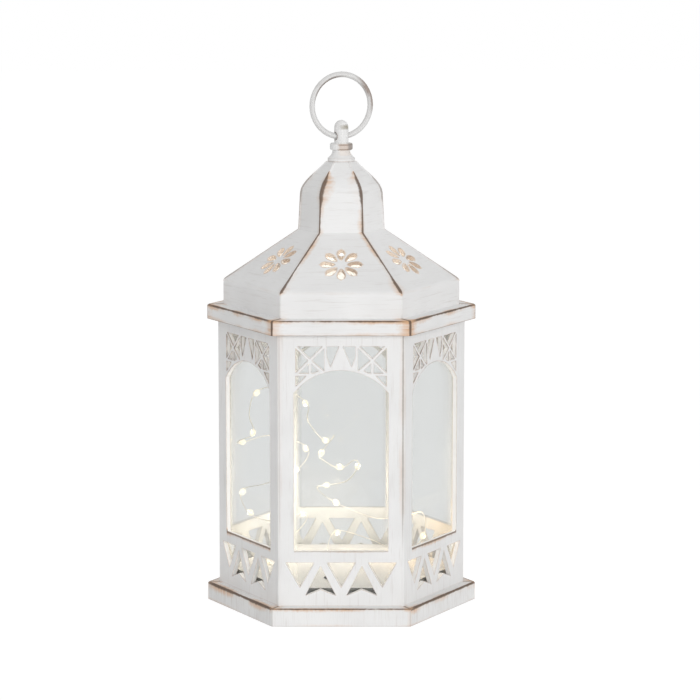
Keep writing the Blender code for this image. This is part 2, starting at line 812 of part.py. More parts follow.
def make_finial():
    soft = 0.0004
    bore = SCREW_BORE
    bore_top = FOOT_Z + FINIAL_SCREW_REACH - DOME_CROWN + GAP
    flare = (COLLAR_Z - NECK_Z) / 2
    profile = [
        (bore, FOOT_Z),
        (FOOT_RADIUS, FOOT_Z),
        (FOOT_RADIUS, NECK_Z),
        ((FOOT_RADIUS + NECK_RADIUS) / 2, NECK_Z + flare / 2),
        (NECK_RADIUS + soft, NECK_Z + flare),
        (NECK_RADIUS, COLLAR_Z - flare / 2),
        (NECK_RADIUS, COLLAR_Z),
        (COLLAR_RADIUS - soft, COLLAR_Z),
        (COLLAR_RADIUS, COLLAR_Z + soft),
        (COLLAR_RADIUS, EYE_FOOT_Z - soft),
        (COLLAR_RADIUS - soft, EYE_FOOT_Z),
        (0.0, EYE_FOOT_Z),
        (0.0, bore_top),
        (bore, bore_top),
    ]
    profile.append(profile[0])
    finial = add_object("finial", turned("finial", profile, 24))
    turn = Matrix.Rotation(EYE_TURN, 3, "Z")

    def along_ring(x, y, z):
        return turn @ Vector((x, y, z))

    def across_ring(y, z, x):
        return along_ring(x, y, z)

    combine(finial, "UNION", "eye_post", eye_post(along_ring))
    hole = circle_section(EYE_HOLE / 2, 0.0, HOLE_Z, 14)
    combine(finial, "DIFFERENCE", "eye_hole", prisms("eye_hole", [hole], -EYE_DEPTH, EYE_DEPTH, across_ring))
    finish(finial, whitewash())


def make_ring():
    """Ring that stands up from its pivot, its origin on the axis that it swings about."""
    section = circle_section(RING_WIRE / 2, RING_RADIUS, 0.0, 10)
    mesh = turned("carry_ring", section, 40, closed=True)
    mesh.transform(Matrix.Translation((0.0, 0.0, RING_RADIUS)) @ Matrix.Rotation(HALF_TURN / 2, 4, "X"))
    ring = finish(add_object("carry_ring", mesh), material("silvered_metal", (0.68, 0.66, 0.63), 0.35, 0.9))
    ring.location = (0.0, 0.0, RING_PIVOT_Z)
    ring.rotation_euler = (0.0, 0.0, EYE_TURN)


def screw_profile(head_z, tip_z):
    """Pan head below, shank up."""
    head = SCREW_HEAD / 2
    shank = SCREW_SHANK / 2
    return [
        (0.0, head_z - SCREW_HEAD_HEIGHT),
        (head * 0.8, head_z - SCREW_HEAD_HEIGHT),
        (head, head_z - SCREW_HEAD_HEIGHT * 0.5),
        (head, head_z),
        (shank, head_z),
        (shank, tip_z - shank),
        (0.0, tip_z),
    ]


def make_finial_screw():
    head_z = CROWN_Z - DOME_CROWN - GAP
    mesh = turned("finial_screw", screw_profile(head_z, head_z + FINIAL_SCREW_REACH), 12)
    finish(add_object("finial_screw", mesh), plated_steel())


def boss_places():
    places = []
    for k in range(3):
        angle = HALF_TURN / 2 + k * 2 * HALF_TURN / 3
        places.append((BOSS_CIRCLE * math.cos(angle), BOSS_CIRCLE * math.sin(angle)))
    return places


def add_turned(work, profile, segments, x, y):
    """Add a solid turned about an upright line at x, y to a bmesh."""
    mesh = turned("turned_part", profile, segments)
    mesh.transform(Matrix.Translation((x, y, 0.0)))
    work.from_mesh(mesh)
    bpy.data.meshes.remove(mesh)


def rods(name, places, radius, low, high, segments=16):
    work = bmesh.new()
    for x, y in places:
        add_turned(work, [(0.0, low), (radius, low), (radius, high), (0.0, high)], segments, x, y)
    return mesh_from(name, work)


def make_floor():
    flat = PANE_INNER - GAP
    floor = add_object("chamber_floor", hexagon_plate("chamber_floor", flat, FLOOR_BOTTOM, FLOOR_TOP))
    into_floor = FLOOR_BOTTOM + FLOOR_THICKNESS / 2
    bosses = rods("floor_bosses", boss_places(), BOSS_RADIUS, WELL_TOP + GAP, into_floor)
    combine(floor, "UNION", "floor_bosses", bosses)
    bore_top = BASE_SCREW_HEAD_Z + BASE_SCREW_LENGTH + GAP
    bores = rods("floor_boss_bores", boss_places(), SCREW_BORE, 0.0, bore_top, 12)
    combine(floor, "DIFFERENCE", "floor_boss_bores", bores)
    hole = rods("grommet_hole", [(GROMMET_X, GROMMET_Y)], GROMMET_NECK + GAP, 0.0, FLOOR_TOP * 2)
    combine(floor, "DIFFERENCE", "grommet_hole", hole)
    finish(floor, ivory_plastic())


def make_grommet():
    bore = WIRE_DIAMETER / 2 + GAP
    low, high = FLOOR_BOTTOM - GAP, FLOOR_TOP + GAP
    section = [
        (bore, low - GROMMET_LIP),
        (GROMMET_FLANGE, low - GROMMET_LIP),
        (GROMMET_FLANGE, low),
        (GROMMET_NECK, low),
        (GROMMET_NECK, high),
        (GROMMET_FLANGE, high),
        (GROMMET_FLANGE - GROMMET_LIP, high + GROMMET_LIP),
        (bore, high + GROMMET_LIP),
    ]
    mesh = turned("grommet", section, 16, closed=True)
    mesh.transform(Matrix.Translation((GROMMET_X, GROMMET_Y, 0.0)))
    finish(add_object("grommet", mesh), black_plastic())


def make_base_screws():
    mesh = turned("base_screw", screw_profile(BASE_SCREW_HEAD_Z, BASE_SCREW_HEAD_Z + BASE_SCREW_LENGTH), 12)
    for k, (x, y) in enumerate(boss_places()):
        screw = finish(add_object("base_screw_" + str(k + 1), mesh), plated_steel())
        screw.location = (x, y, 0.0)


def hook_outline():
    """Hook at the cover's -X end, from the side: a neck inside the bay and a toe over the plate."""
    root = -(COVER_HALF_LENGTH - GAP)
    inner = root + HOOK_NECK
    toe = -(COVER_HALF_LENGTH + HOOK_REACH)
    under = BAY_FLOOR
    base = PLATE_BOTTOM + PLATE_THICKNESS / 2
    return [
        (inner, base),
        (inner, under),
        (inner - HOOK_THICKNESS, HOOK_TOP),
        (toe, HOOK_TOP),
        (toe, under),
        (root, under),
        (root, base),
    ]


def notch_outline():
    """Half-round recess beside the cover's latch, for a fingertip."""
    start = COVER_HALF_LENGTH
    steps = 10
    points = [(start, BAY_Y - NOTCH_HALF)]
    for k in range(steps + 1):
        angle = HALF_TURN * k / steps
        reach = COVER_CLEARANCE + NOTCH_REACH * math.sin(angle)
        points.append((start + reach, BAY_Y - NOTCH_HALF * math.cos(angle)))
    points.append((start, BAY_Y + NOTCH_HALF))
    return points


def make_housing():
    """Bottom plate with the battery bay, screw wells, board posts and the switch slot."""
    outer = PLINTH_FLATS / 2 - SKIRT_LIP - GAP
    housing = add_object("battery_housing", hexagon_plate("battery_housing", outer, PLATE_BOTTOM, PLATE_TOP))
    root = PLATE_BOTTOM + PLATE_THICKNESS / 2
    bay_x = BAY_HALF_LENGTH + BAY_WALL
    bay_y = BAY_HALF_WIDTH + BAY_WALL
    shell = box("bay_shell", 0.0, BAY_Y, bay_x, bay_y, root, BAY_CEILING + BAY_ROOF)
    combine(housing, "UNION", "bay_shell", shell)
    wells = rods("screw_wells", boss_places(), WELL_RADIUS, root, WELL_TOP)
    combine(housing, "UNION", "screw_wells", wells)
    places = [(side * BOARD_POST_X, BOARD_Y) for side in (-1, 1)]
    posts = rods("board_posts", places, BOARD_POST_RADIUS, root, BOARD_Z - GAP, 12)
    combine(housing, "UNION", "board_posts", posts)
    cavity = box("bay_cavity", 0.0, BAY_Y, BAY_HALF_LENGTH, BAY_HALF_WIDTH, 0.0, BAY_CEILING)
    combine(housing, "DIFFERENCE", "bay_cavity", cavity)
    mouth_x = COVER_HALF_LENGTH + COVER_CLEARANCE
    mouth_y = COVER_HALF_WIDTH + COVER_CLEARANCE
    mouth = box("bay_mouth", 0.0, BAY_Y, mouth_x, mouth_y, 0.0, BAY_FLOOR)
    combine(housing, "DIFFERENCE", "bay_mouth", mouth)
    slots = []
    slot_half = HOOK_WIDTH / 2 + RUNNING_GAP
    for side in (-1, 1):
        slots.append(box_outline(-bay_x, BAY_Y + side * HOOK_Y, BAY_WALL * 1.5, slot_half))
    hook_slots = prisms("hook_slots", slots, PLATE_TOP, HOOK_TOP + HOOK_REACH, level)
    combine(housing, "DIFFERENCE", "hook_slots", hook_slots)
    recess = rods("well_recess", boss_places(), SCREW_HEAD / 2 + GAP, 0.0, WELL_TOP - WELL_ROOF)
    combine(housing, "DIFFERENCE", "well_recess", recess)
    bores = rods("well_bores", boss_places(), SCREW_BORE, 0.0, WELL_TOP * 2, 12)
    combine(housing, "DIFFERENCE", "well_bores", bores)
    slot_x = (KNOB_LENGTH + KNOB_TRAVEL) / 2 + RUNNING_GAP
    slot_y = KNOB_DEPTH / 2 + RUNNING_GAP
    slot = box("knob_slot", KNOB_TRAVEL / 2, BOARD_Y, slot_x, slot_y, 0.0, PLATE_TOP * 2)
    combine(housing, "DIFFERENCE", "knob_slot", slot)
    notch = prisms("finger_notch", [notch_outline()], 0.0, PLATE_BOTTOM + NOTCH_DEPTH, level)
    combine(housing, "DIFFERENCE", "finger_notch", notch)
    finish(housing, ivory_plastic())


def make_cover():
    """Lid of the battery bay, its origin on the line that it tips about."""
    low, high = PLATE_BOTTOM, PLATE_TOP
    mesh = box("battery_cover", 0.0, BAY_Y, COVER_HALF_LENGTH, COVER_HALF_WIDTH, low, high)
    cover = add_object("battery_cover", mesh)

    def from_side(x, z, y):
        return Vector((x, y, z))

    work = bmesh.new()
    for side in (-1, 1):
        middle = BAY_Y + side * HOOK_Y
        add_prism(work, hook_outline(), middle - HOOK_WIDTH / 2, middle + HOOK_WIDTH / 2, from_side)
    combine(cover, "UNION", "cover_hooks", mesh_from("cover_hooks", work))
    latch_x = BAY_HALF_LENGTH - RUNNING_GAP * 2 - LATCH_THICKNESS / 2
    root = (low + high) / 2
    thick, wide = LATCH_THICKNESS / 2, LATCH_WIDTH / 2
    latch = box("cover_latch", latch_x, BAY_Y, thick, wide, root, high + LATCH_HEIGHT)
    combine(cover, "UNION", "cover_latch", latch)
    finish(cover, ivory_plastic())
    hinge = bpy.data.objects.new("cover_hinge", None)
    bpy.context.scene.collection.objects.link(hinge)
    hinge.location = (HINGE_X, BAY_Y, PLATE_BOTTOM)
    for item in [cover] + [step.object for step in cover.modifiers]:
        item.parent = hinge
        item.location = -hinge.location


def make_batteries():
    """Cells side by side, turned end for end, each between a contact plate and a spring."""
    r = CELL_DIAMETER / 2
    body = CELL_LENGTH - NUB_HEIGHT
    edge = 0.0005
    profile = [
        (0.0, 0.0),
        (r - edge, 0.0),
        (r, edge),
        (r, body - edge),
        (r - edge, body),
        (NUB_RADIUS, body),
        (NUB_RADIUS, CELL_LENGTH),
        (0.0, CELL_LENGTH),
    ]
    cell = turned("battery", profile, 16)
    plate_x = BAY_HALF_LENGTH - GAP - CONTACT_THICKNESS
    nub_x = plate_x - GAP
    back_x = nub_x - CELL_LENGTH
    half = CONTACT_SIZE / 2
    chamfer = half * 0.6
    contact = [(-half, -chamfer), (-chamfer, -half), (chamfer, -half), (half, -chamfer)]
    contact += [(half, chamfer), (chamfer, half), (-chamfer, half), (-half, chamfer)]

    def across_bay(y, z, x):
        return Vector((x, y, z))

    plate = prisms("contact_plate", [contact], plate_x, plate_x + CONTACT_THICKNESS, across_bay)
    wire = SPRING_WIRE / 2
    start, end = -(BAY_HALF_LENGTH - GAP - wire), back_x - GAP - wire
    coil = []
    count = int(SPRING_TURNS * SPRING_STEPS)
    for k in range(count + 1):
        share = k / count
        angle = 2 * HALF_TURN * SPRING_TURNS * share
        radius = SPRING_BASE_RADIUS + (SPRING_TIP_RADIUS - SPRING_BASE_RADIUS) * share
        x = start + (end - start) * share
        coil.append(Vector((x, radius * math.cos(angle), radius * math.sin(angle))))
    report_gap("contact spring", coil, SPRING_WIRE)
    wrap = material("battery_wrap", (0.16, 0.17, 0.19), 0.35, 0.3)
    lying = Matrix.Translation((back_x, 0.0, 0.0)) @ Matrix.Rotation(HALF_TURN / 2, 4, "Y")
    for k in range(CELLS):
        y = BAY_Y + (k - (CELLS - 1) / 2) * CELL_PITCH
        seat = Matrix.Translation((0.0, y, CELL_Z_AXIS)) @ Matrix.Rotation(HALF_TURN * (k % 2), 4, "Z")
        number = str(k + 1)
        battery = finish(add_object("battery_" + number, cell), wrap)
        battery.matrix_world = seat @ lying
        touch = finish(add_object("contact_plate_" + number, plate), plated_steel())
        touch.matrix_world = seat
        tube("contact_spring_" + number, [seat @ point for point in coil], SPRING_WIRE, 1, plated_steel())


def make_board():
    half = BOARD_DEPTH / 2
    chamfer = 0.0015
    end = BOARD_LENGTH / 2
    outline = [
        (-end + chamfer, BOARD_Y - half),
        (end - chamfer, BOARD_Y - half),
        (end, BOARD_Y - half + chamfer),
        (end, BOARD_Y + half - chamfer),
        (end - chamfer, BOARD_Y + half),
        (-end + chamfer, BOARD_Y + half),
        (-end, BOARD_Y + half - chamfer),
        (-end, BOARD_Y - half + chamfer),
    ]
    board = prisms("circuit_board", [outline], BOARD_Z, BOARD_Z + BOARD_THICKNESS, level)
    finish(add_object("circuit_board", board), material("board_green", (0.05, 0.22, 0.10), 0.45))


def make_switch():
    """Channel-shaped switch body under the board, and the knob that slides along it."""
    top = BOARD_Z - GAP
    low = PLATE_TOP + RUNNING_GAP
    half = SWITCH_DEPTH / 2
    inner = half - SWITCH_WALL
    channel = [(-half, low), (-inner, low), (-inner, top - SWITCH_WALL), (inner, top - SWITCH_WALL)]
    channel += [(inner, low), (half, low), (half, top), (-half, top)]
    x = KNOB_TRAVEL / 2

    def along(y, z, depth):
        return Vector((depth, BOARD_Y + y, z))

    body = prisms("power_switch", [channel], x - SWITCH_LENGTH / 2, x + SWITCH_LENGTH / 2, along)
    finish(add_object("power_switch", body), plated_steel())
    pad, stem = KNOB_LENGTH / 2, KNOB_STEM / 2
    pad_top = KNOB_END + KNOB_PAD_HEIGHT
    groove = 0.0003
    grip = []
    for k in range(KNOB_RIDGES):
        start = -pad + KNOB_LENGTH * k / KNOB_RIDGES
        grip += [(start, KNOB_END + groove), (start + KNOB_LENGTH / KNOB_RIDGES / 2, KNOB_END)]
    grip.append((pad, KNOB_END + groove))
    stem_top = top - SWITCH_WALL - RUNNING_GAP
    right = [(pad, pad_top), (stem, pad_top), (stem, stem_top)]
    left = [(-stem, stem_top), (-stem, pad_top), (-pad, pad_top)]
    thick = KNOB_DEPTH / 2
    knob = prisms("switch_knob", [grip + right + left], -thick, thick, upright)
    slider = finish(add_object("switch_knob", knob), black_plastic())
    slider.location = (0.0, BOARD_Y, 0.0)


def smooth_route(steps):
    """Points read from a smooth curve through the route, and the places of the light drops."""
    spots = [Vector(entry[:3]) for entry in ROUTE]
    points = [spots[0]]
    drops = []
    for k in range(len(spots) - 1):
        before = spots[max(k - 1, 0)]
        after = spots[min(k + 2, len(spots) - 1)]
        lean_in = (spots[k + 1] - before) / 2
        lean_out = (after - spots[k]) / 2
        for step in range(steps):
            t = (step + 0.5) / steps
            ends = spots[k] * (2 * t**3 - 3 * t**2 + 1) + spots[k + 1] * (3 * t**2 - 2 * t**3)
            point = ends + lean_in * (t**3 - 2 * t**2 + t) + lean_out * (t**3 - t**2)
            if step == 0 and ROUTE[k][3]:
                drops.append((points[-1], point))
            points.append(point)
    points.append(spots[-1])
    return points, drops


def make_light_string():
    points, drops = smooth_route(WIRE_STEPS)
    report_gap("light string", smooth_route(MEASURE_STEPS)[0], WIRE_DIAMETER)
    copper = material("string_wire", (0.72, 0.60, 0.40), 0.35, 0.6)
    tube("string_wire", points, WIRE_DIAMETER, 2, copper)
    bore = WIRE_DIAMETER / 2 + GAP
    half = DROP_LENGTH / 2
    section = [
        (bore, -half),
        (DROP_RADIUS * 0.75, -half * 0.85),
        (DROP_RADIUS, 0.0),
        (DROP_RADIUS * 0.75, half * 0.85),
        (bore, half),
    ]
    mesh = turned("light_drop", section, 8, closed=True)
    glow = material("light_drop", (1.0, 0.86, 0.60), 0.15)
    for k, (start, end) in enumerate(drops):
        drop = finish(add_object("light_drop_" + format(k + 1, "02d"), mesh), glow)
        drop.rotation_mode = "QUATERNION"
        drop.rotation_quaternion = (end - start).to_track_quat("Z", "Y")
        drop.location = (start + end) / 2


def main():
    clear_scene()
    make_plinth()
    make_walls()
    make_roof()
    make_finial()
    make_ring()
    make_finial_screw()
    make_floor()
    make_grommet()
    make_base_screws()
    make_housing()
    make_cover()
    make_batteries()
    make_board()
    make_switch()
    make_light_string()


main()
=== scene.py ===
"""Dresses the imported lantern: camera, light, finishes, and the wire light string inside."""

import math

import bmesh
import bpy
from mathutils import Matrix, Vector


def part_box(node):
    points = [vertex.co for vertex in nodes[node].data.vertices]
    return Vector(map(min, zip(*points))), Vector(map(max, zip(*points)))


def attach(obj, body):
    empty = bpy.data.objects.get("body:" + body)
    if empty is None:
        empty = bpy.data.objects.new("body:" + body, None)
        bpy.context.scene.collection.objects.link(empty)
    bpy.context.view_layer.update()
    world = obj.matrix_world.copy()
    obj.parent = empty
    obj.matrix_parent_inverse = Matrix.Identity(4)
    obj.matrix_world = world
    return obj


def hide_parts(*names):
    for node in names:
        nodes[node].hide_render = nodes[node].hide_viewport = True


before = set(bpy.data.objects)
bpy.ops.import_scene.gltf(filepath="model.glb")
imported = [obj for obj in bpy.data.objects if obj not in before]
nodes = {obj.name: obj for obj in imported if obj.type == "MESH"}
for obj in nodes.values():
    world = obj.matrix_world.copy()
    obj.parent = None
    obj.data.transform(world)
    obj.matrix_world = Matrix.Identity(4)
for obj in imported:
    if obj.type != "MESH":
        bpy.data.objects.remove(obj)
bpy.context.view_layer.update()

# Objects and meshes


def object_of(name, data):
    made = bpy.data.objects.new(name, data)
    bpy.context.scene.collection.objects.link(made)
    return made


def mesh_of(name, work, smooth=True):
    bmesh.ops.recalc_face_normals(work, faces=work.faces)
    mesh = bpy.data.meshes.new(name)
    work.to_mesh(mesh)
    work.free()
    if smooth:
        mesh.shade_smooth()
    return mesh


def skin(work, rings, closed=False):
    """Faces from each ring of points to the next; closed joins the last to the first in place of two caps."""
    made = [[work.verts.new(point) for point in ring] for ring in rings]
    count = len(rings[0])
    last = len(made) if closed else len(made) - 1
    for i in range(last):
        low, high = made[i], made[(i + 1) % len(made)]
        for k in range(count):
            work.faces.new((low[k], low[(k + 1) % count], high[(k + 1) % count], high[k]))
    if not closed:
        work.faces.new(made[0])
        work.faces.new(list(reversed(made[-1])))


def angles(count):
    """Equal steps round a full turn, in radians."""
    return [2 * math.pi * k / count for k in range(count)]


def outward(angle):
    return Vector((math.cos(angle), math.sin(angle), 0.0))


def upward(height):
    return Vector((0.0, 0.0, height))


# Camera, fitted to the photo

CAMERA_AT = (0.0046, -1.678, 0.4042)
CAMERA_DOWN = 9.079  # degrees below level
LENS = 163.67  # millimetres, as is the sensor's width
SENSOR_WIDTH = 36.0
NEAREST = 0.05
FURTHEST = 50.0


def make_camera():
    data = bpy.data.cameras.new("camera")
    data.lens = LENS
    data.sensor_width = SENSOR_WIDTH
    data.clip_start = NEAREST
    data.clip_end = FURTHEST
    camera = object_of("camera", data)
    camera.location = CAMERA_AT
    camera.rotation_euler = (math.radians(90.0 - CAMERA_DOWN), 0.0, 0.0)
    bpy.context.scene.camera = camera


make_camera()

# Light string

WIRE_DIAMETER = 0.0007
WIRE_WAIST = 0.28  # share that the pair of strands lacks across its thin way
WIRE_SIDES = 12
WIRE_STEPS = 12  # for each stretch of the route
CAD_STEPS = 2  # the CAD's wire has fewer, and its drops sit on them
STRAND_PITCH = 0.0042  # length of wire for one full turn of the strands
BEAD_RADIUS = 0.0016
BEAD_HALF = 0.0020  # half of its length
BEAD_WAIST = 0.05
CHIP_RADIUS = 0.00055
CHIP_HALF = 0.00080
BEAN_POWER = 2.3  # 2 gives an ellipse, and more a fuller bean
BEAN_TIP = 0.00002  # least radius of its flat ends

# The same points as the CAD route; True where the wire carries a light drop
ROUTE = [
    (-0.0060, -0.0300, 0.0107, False),
    (-0.0060, -0.0300, 0.0160, False),
    (-0.0060, -0.0300, 0.0215, False),
    (-0.0075, -0.0240, 0.0310, False),
    (-0.0029, -0.0080, 0.0390, True),
    (0.0150, 0.0000, 0.0330, False),
    (0.0330, -0.0130, 0.0285, False),
    (0.0440, -0.0110, 0.0370, True),
    (0.0440, 0.0050, 0.0460, False),
    (0.0360, 0.0150, 0.0430, True),
    (0.0190, 0.0250, 0.0390, False),
    (-0.0035, 0.0220, 0.0485, True),
    (-0.0130, 0.0040, 0.0600, False),
    (-0.0081, -0.0140, 0.0653, True),
    (0.0030, -0.0250, 0.0700, False),
    (0.0089, -0.0240, 0.0776, True),
    (0.0070, -0.0040, 0.0770, False),
    (-0.0008, 0.0140, 0.0690, True),
    (-0.0100, 0.0020, 0.0760, False),
    (-0.0110, -0.0180, 0.0830, True),
    (-0.0040, -0.0020, 0.0900, False),
    (-0.0084, 0.0180, 0.0826, True),
    (-0.0180, 0.0080, 0.0960, False),
    (-0.0182, -0.0120, 0.1093, True),
    (-0.0330, -0.0140, 0.1180, False),
    (-0.0456, -0.0060, 0.1143, True),
    (-0.0490, -0.0120, 0.1030, False),
    (-0.0462, -0.0160, 0.0939, True),
    (-0.0545, -0.0060, 0.0880, False),
    (-0.0540, 0.0060, 0.0845, True),
    (-0.0370, 0.0150, 0.0870, False),
    (-0.0181, 0.0120, 0.0804, True),
    (-0.0239, -0.0140, 0.0735, True),
    (-0.0400, -0.0120, 0.0660, False),
    (-0.0540, 0.0020, 0.0590, True),
    (-0.0490, -0.0110, 0.0493, True),
    (-0.0340, -0.0200, 0.0470, False),
    (-0.0199, -0.0120, 0.0502, True),
    (-0.0200, 0.0080, 0.0400, False),
    (-0.0310, 0.0180, 0.0270, True),
    (-0.0460, 0.0080, 0.0215, False),
    (-0.0400, -0.0120, 0.0225, True),
    (-0.0300, -0.0200, 0.0205, False),
]


def smooth_route(steps):
    """Points on the smooth curve through the route, and each drop's two points on the wire."""
    spots = [Vector(entry[:3]) for entry in ROUTE]
    points = [spots[0]]
    drops = []
    for k in range(len(spots) - 1):
        before = spots[max(k - 1, 0)]
        after = spots[min(k + 2, len(spots) - 1)]
        lean_in = (spots[k + 1] - before) / 2
        lean_out = (after - spots[k]) / 2
        for step in range(steps):
            t = (step + 0.5) / steps
            ends = spots[k] * (2 * t**3 - 3 * t**2 + 1) + spots[k + 1] * (3 * t**2 - 2 * t**3)
            point = ends + lean_in * (t**3 - 2 * t**2 + t) + lean_out * (t**3 - t**2)
            if step == 0 and ROUTE[k][3]:
                drops.append((points[-1], point))
            points.append(point)
    points.append(spots[-1])
    return points, drops


def twisted_pair(name, points):
    """Two lacquered strands wound round each other, as one closed tube with a waisted section."""
    half = WIRE_DIAMETER / 2
    rings = []
    side = None
    travelled = 0.0
    for k, point in enumerate(points):
        along = (points[min(k + 1, len(points) - 1)] - points[max(k - 1, 0)]).normalized()
        if side is None:
            side = along.orthogonal().normalized()
        else:
            travelled += (point - points[k - 1]).length
            side = (side - along * side.dot(along)).normalized()
        other = along.cross(side)
        turn = 2 * math.pi * travelled / STRAND_PITCH
        ring = []
        for angle in angles(WIRE_SIDES):
            reach = half * (1.0 - WIRE_WAIST + WIRE_WAIST * math.cos(angle) ** 2)
            spun = angle + turn
            ring.append(point + (side * math.cos(spun) + other * math.sin(spun)) * reach)
        rings.append(ring)
    work = bmesh.new()
    skin(work, rings)
    return object_of(name, mesh_of(name, work))


def add_bean(work, radius, half, sides, steps, waist=0.0, bore=0.0):
    """Closed bean along Z, fuller in its middle, with ends as wide as its bore."""
    rings = []
    for k in range(steps + 1):
        share = -1.0 + 2.0 * k / steps
        full = math.sqrt(max(0.0, 1.0 - abs(share) ** BEAN_POWER))
        reach = max(bore + (radius - bore) * full, BEAN_TIP)
        ring = []
        for angle in angles(sides):
            lobe = 1.0 - waist * (1.0 + math.cos(2 * angle)) / 2
            ring.append(Vector((reach * lobe * math.cos(angle), reach * math.sin(angle), half * share)))
        rings.append(ring)
    skin(work, rings)


def drop_mesh():
    """Bead of clear resin that thins out along the wire at both ends, with a lit chip inside."""
    work = bmesh.new()
    add_bean(work, BEAD_RADIUS, BEAD_HALF, sides=20, steps=14, waist=BEAD_WAIST, bore=WIRE_DIAMETER / 2)
    shell = len(work.faces)
    add_bean(work, CHIP_RADIUS, CHIP_HALF, sides=12, steps=8)
    work.faces.ensure_lookup_table()
    for face in work.faces[shell:]:
        face.material_index = 1
    return mesh_of("light_bead", work)


def make_light_string():
    fine, _ = smooth_route(WIRE_STEPS)
    _, drops = smooth_route(CAD_STEPS)
    wire = twisted_pair("light_wire", fine)
    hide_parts("string_wire")
    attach(wire, "lantern")
    bead = drop_mesh()
    beads = []
    for k, (start, end) in enumerate(drops):
        number = format(k + 1, "02d")
        piece = object_of("light_bead_" + number, bead)
        piece.rotation_mode = "QUATERNION"
        piece.rotation_quaternion = (end - start).to_track_quat("Z", "Y")
        piece.location = (start + end) / 2
        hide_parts("light_drop_" + number)
        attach(piece, "lantern")
        beads.append(piece)
    return wire, beads


wire, beads = make_light_string()

# Node helpers

NOISE_LOW = 0.3  # most of a noise lies from here
NOISE_HIGH = 0.7  # to here


class Graph:
    """A material's node tree, with its Principled shader and short ways to add nodes."""

    def __init__(self, name):
        self.material = bpy.data.materials.new(name)
        self.material.use_nodes = True
        self.tree = self.material.node_tree
        self.shader = self.tree.nodes["Principled BSDF"]
        self.output = self.tree.nodes["Material Output"]
        self.object_place = None

    def add(self, kind, inputs=None, **settings):
        made = self.tree.nodes.new(kind)
        for key, value in settings.items():
            setattr(made, key, value)
        for key, value in (inputs or {}).items():
            self.put(made.inputs[key], value)
        return made

    def put(self, socket, value):
        """Link a socket to another, or give it a number, a vector or a colour of three numbers."""
        if isinstance(value, bpy.types.NodeSocket):
            self.tree.links.new(value, socket)
        elif socket.type == "RGBA":
            socket.default_value = (*value, 1.0)
        else:
            socket.default_value = value

    def set(self, **inputs):
        """Put values on the shader's sockets, named with _ for a space."""
        for key, value in inputs.items():
            self.put(self.shader.inputs[key.replace("_", " ")], value)

    def math(self, operation, a, b=None, clamp=False):
        made = self.add("ShaderNodeMath", {0: a}, operation=operation, use_clamp=clamp)
        if b is not None:
            self.put(made.inputs[1], b)
        return made.outputs[0]

    def plus(self, first, *others):
        for other in others:
            first = self.math("ADD", first, other)
        return first

    def minus(self, first, other):
        return self.math("SUBTRACT", first, other)

    def times(self, first, *others):
        for other in others:
            first = self.math("MULTIPLY", first, other)
        return first

    def linear(self, value, gain, start):
        """Gain times a value, counted from a start."""
        return self.plus(self.times(value, gain), start)

    def size(self, value):
        return self.math("ABSOLUTE", value)

    def root(self, value):
        """Square root, and 0 for what is less than 0."""
        return self.math("SQRT", self.math("MAXIMUM", value, 0.0))

    def diagonal(self, a, b):
        """Straight distance over two distances at right angles to each other."""
        return self.math("SQRT", self.plus(self.times(a, a), self.times(b, b)))

    def fade(self, value, low, high, start=0.0, end=1.0):
        """Smooth step of a value from low to high, as start to end."""
        places = {"Value": value, "From Min": low, "From Max": high, "To Min": start, "To Max": end}
        made = self.add("ShaderNodeMapRange", places, interpolation_type="SMOOTHSTEP", clamp=True)
        return made.outputs[0]

    def ease(self, share, start, end):
        """Smooth step of a share from 0 to 1, as start to end."""
        return self.fade(share, 0.0, 1.0, start, end)

    def vary(self, noise, start=0.0, end=1.0):
        """Smooth step over most of a noise, as start to end."""
        return self.fade(noise, NOISE_LOW, NOISE_HIGH, start, end)

    def blend(self, share, a, b):
        """Colour a, turned to b by a share."""
        made = self.add("ShaderNodeMix", data_type="RGBA", blend_type="MIX")
        self.put(made.inputs["Factor"], share)
        self.put(made.inputs["A"], a)
        self.put(made.inputs["B"], b)
        return made.outputs["Result"]

    def place(self):
        if self.object_place is None:
            self.object_place = self.add("ShaderNodeTexCoord").outputs["Object"]
        return self.object_place

    def axes(self):
        """The place on the object, as X, Y and Z."""
        return self.add("ShaderNodeSeparateXYZ", {0: self.place()}).outputs

    def facing(self):
        """The surface's own direction, as X, Y and Z."""
        normal = self.add("ShaderNodeTexCoord").outputs["Normal"]
        return self.add("ShaderNodeSeparateXYZ", {0: normal}).outputs

    def noise(self, scale, stretch=(1.0, 1.0, 1.0), detail=3.0, rough=0.55, shift=(0.0, 0.0, 0.0)):
        """Noise with about as many waves to the metre as its scale; a small stretch draws them out."""
        moved = self.add("ShaderNodeMapping", {"Vector": self.place(), "Scale": stretch, "Location": shift})
        wanted = {"Vector": moved.outputs[0], "Scale": scale, "Detail": detail, "Roughness": rough}
        return self.add("ShaderNodeTexNoise", wanted).outputs["Fac"]

    def bump(self, height, distance, strength):
        made = self.add("ShaderNodeBump", {"Height": height, "Distance": distance, "Strength": strength})
        self.put(self.shader.inputs["Normal"], made.outputs[0])


def dress(graph, *names):
    """Give a finish to CAD nodes by name, or to pieces of this script."""
    for name in names:
        piece = nodes[name] if isinstance(name, str) else name
        piece.data.materials.clear()
        piece.data.materials.append(graph.material)


def named(*starts):
    """Names of the CAD nodes that begin with one of these."""
    return [name for name in nodes if name.startswith(starts)]


# Whitewash

PAINT = (0.862, 0.860, 0.856)
PAINT_THIN = (0.785, 0.780, 0.776)
STREAK = (0.56, 0.51, 0.475)
TAN = (0.70, 0.43, 0.25)
BRONZE = (0.135, 0.088, 0.060)
BARE = (0.60, 0.46, 0.37)
SHADE = (0.33, 0.29, 0.27)  # dull brown of the fainter lines

# Names that end in LINE are the widths of a rubbed line: of its dark core, and of its tan halo
CORE_SOFT = 0.4  # share of the core's width over which it fades, inwards and outwards

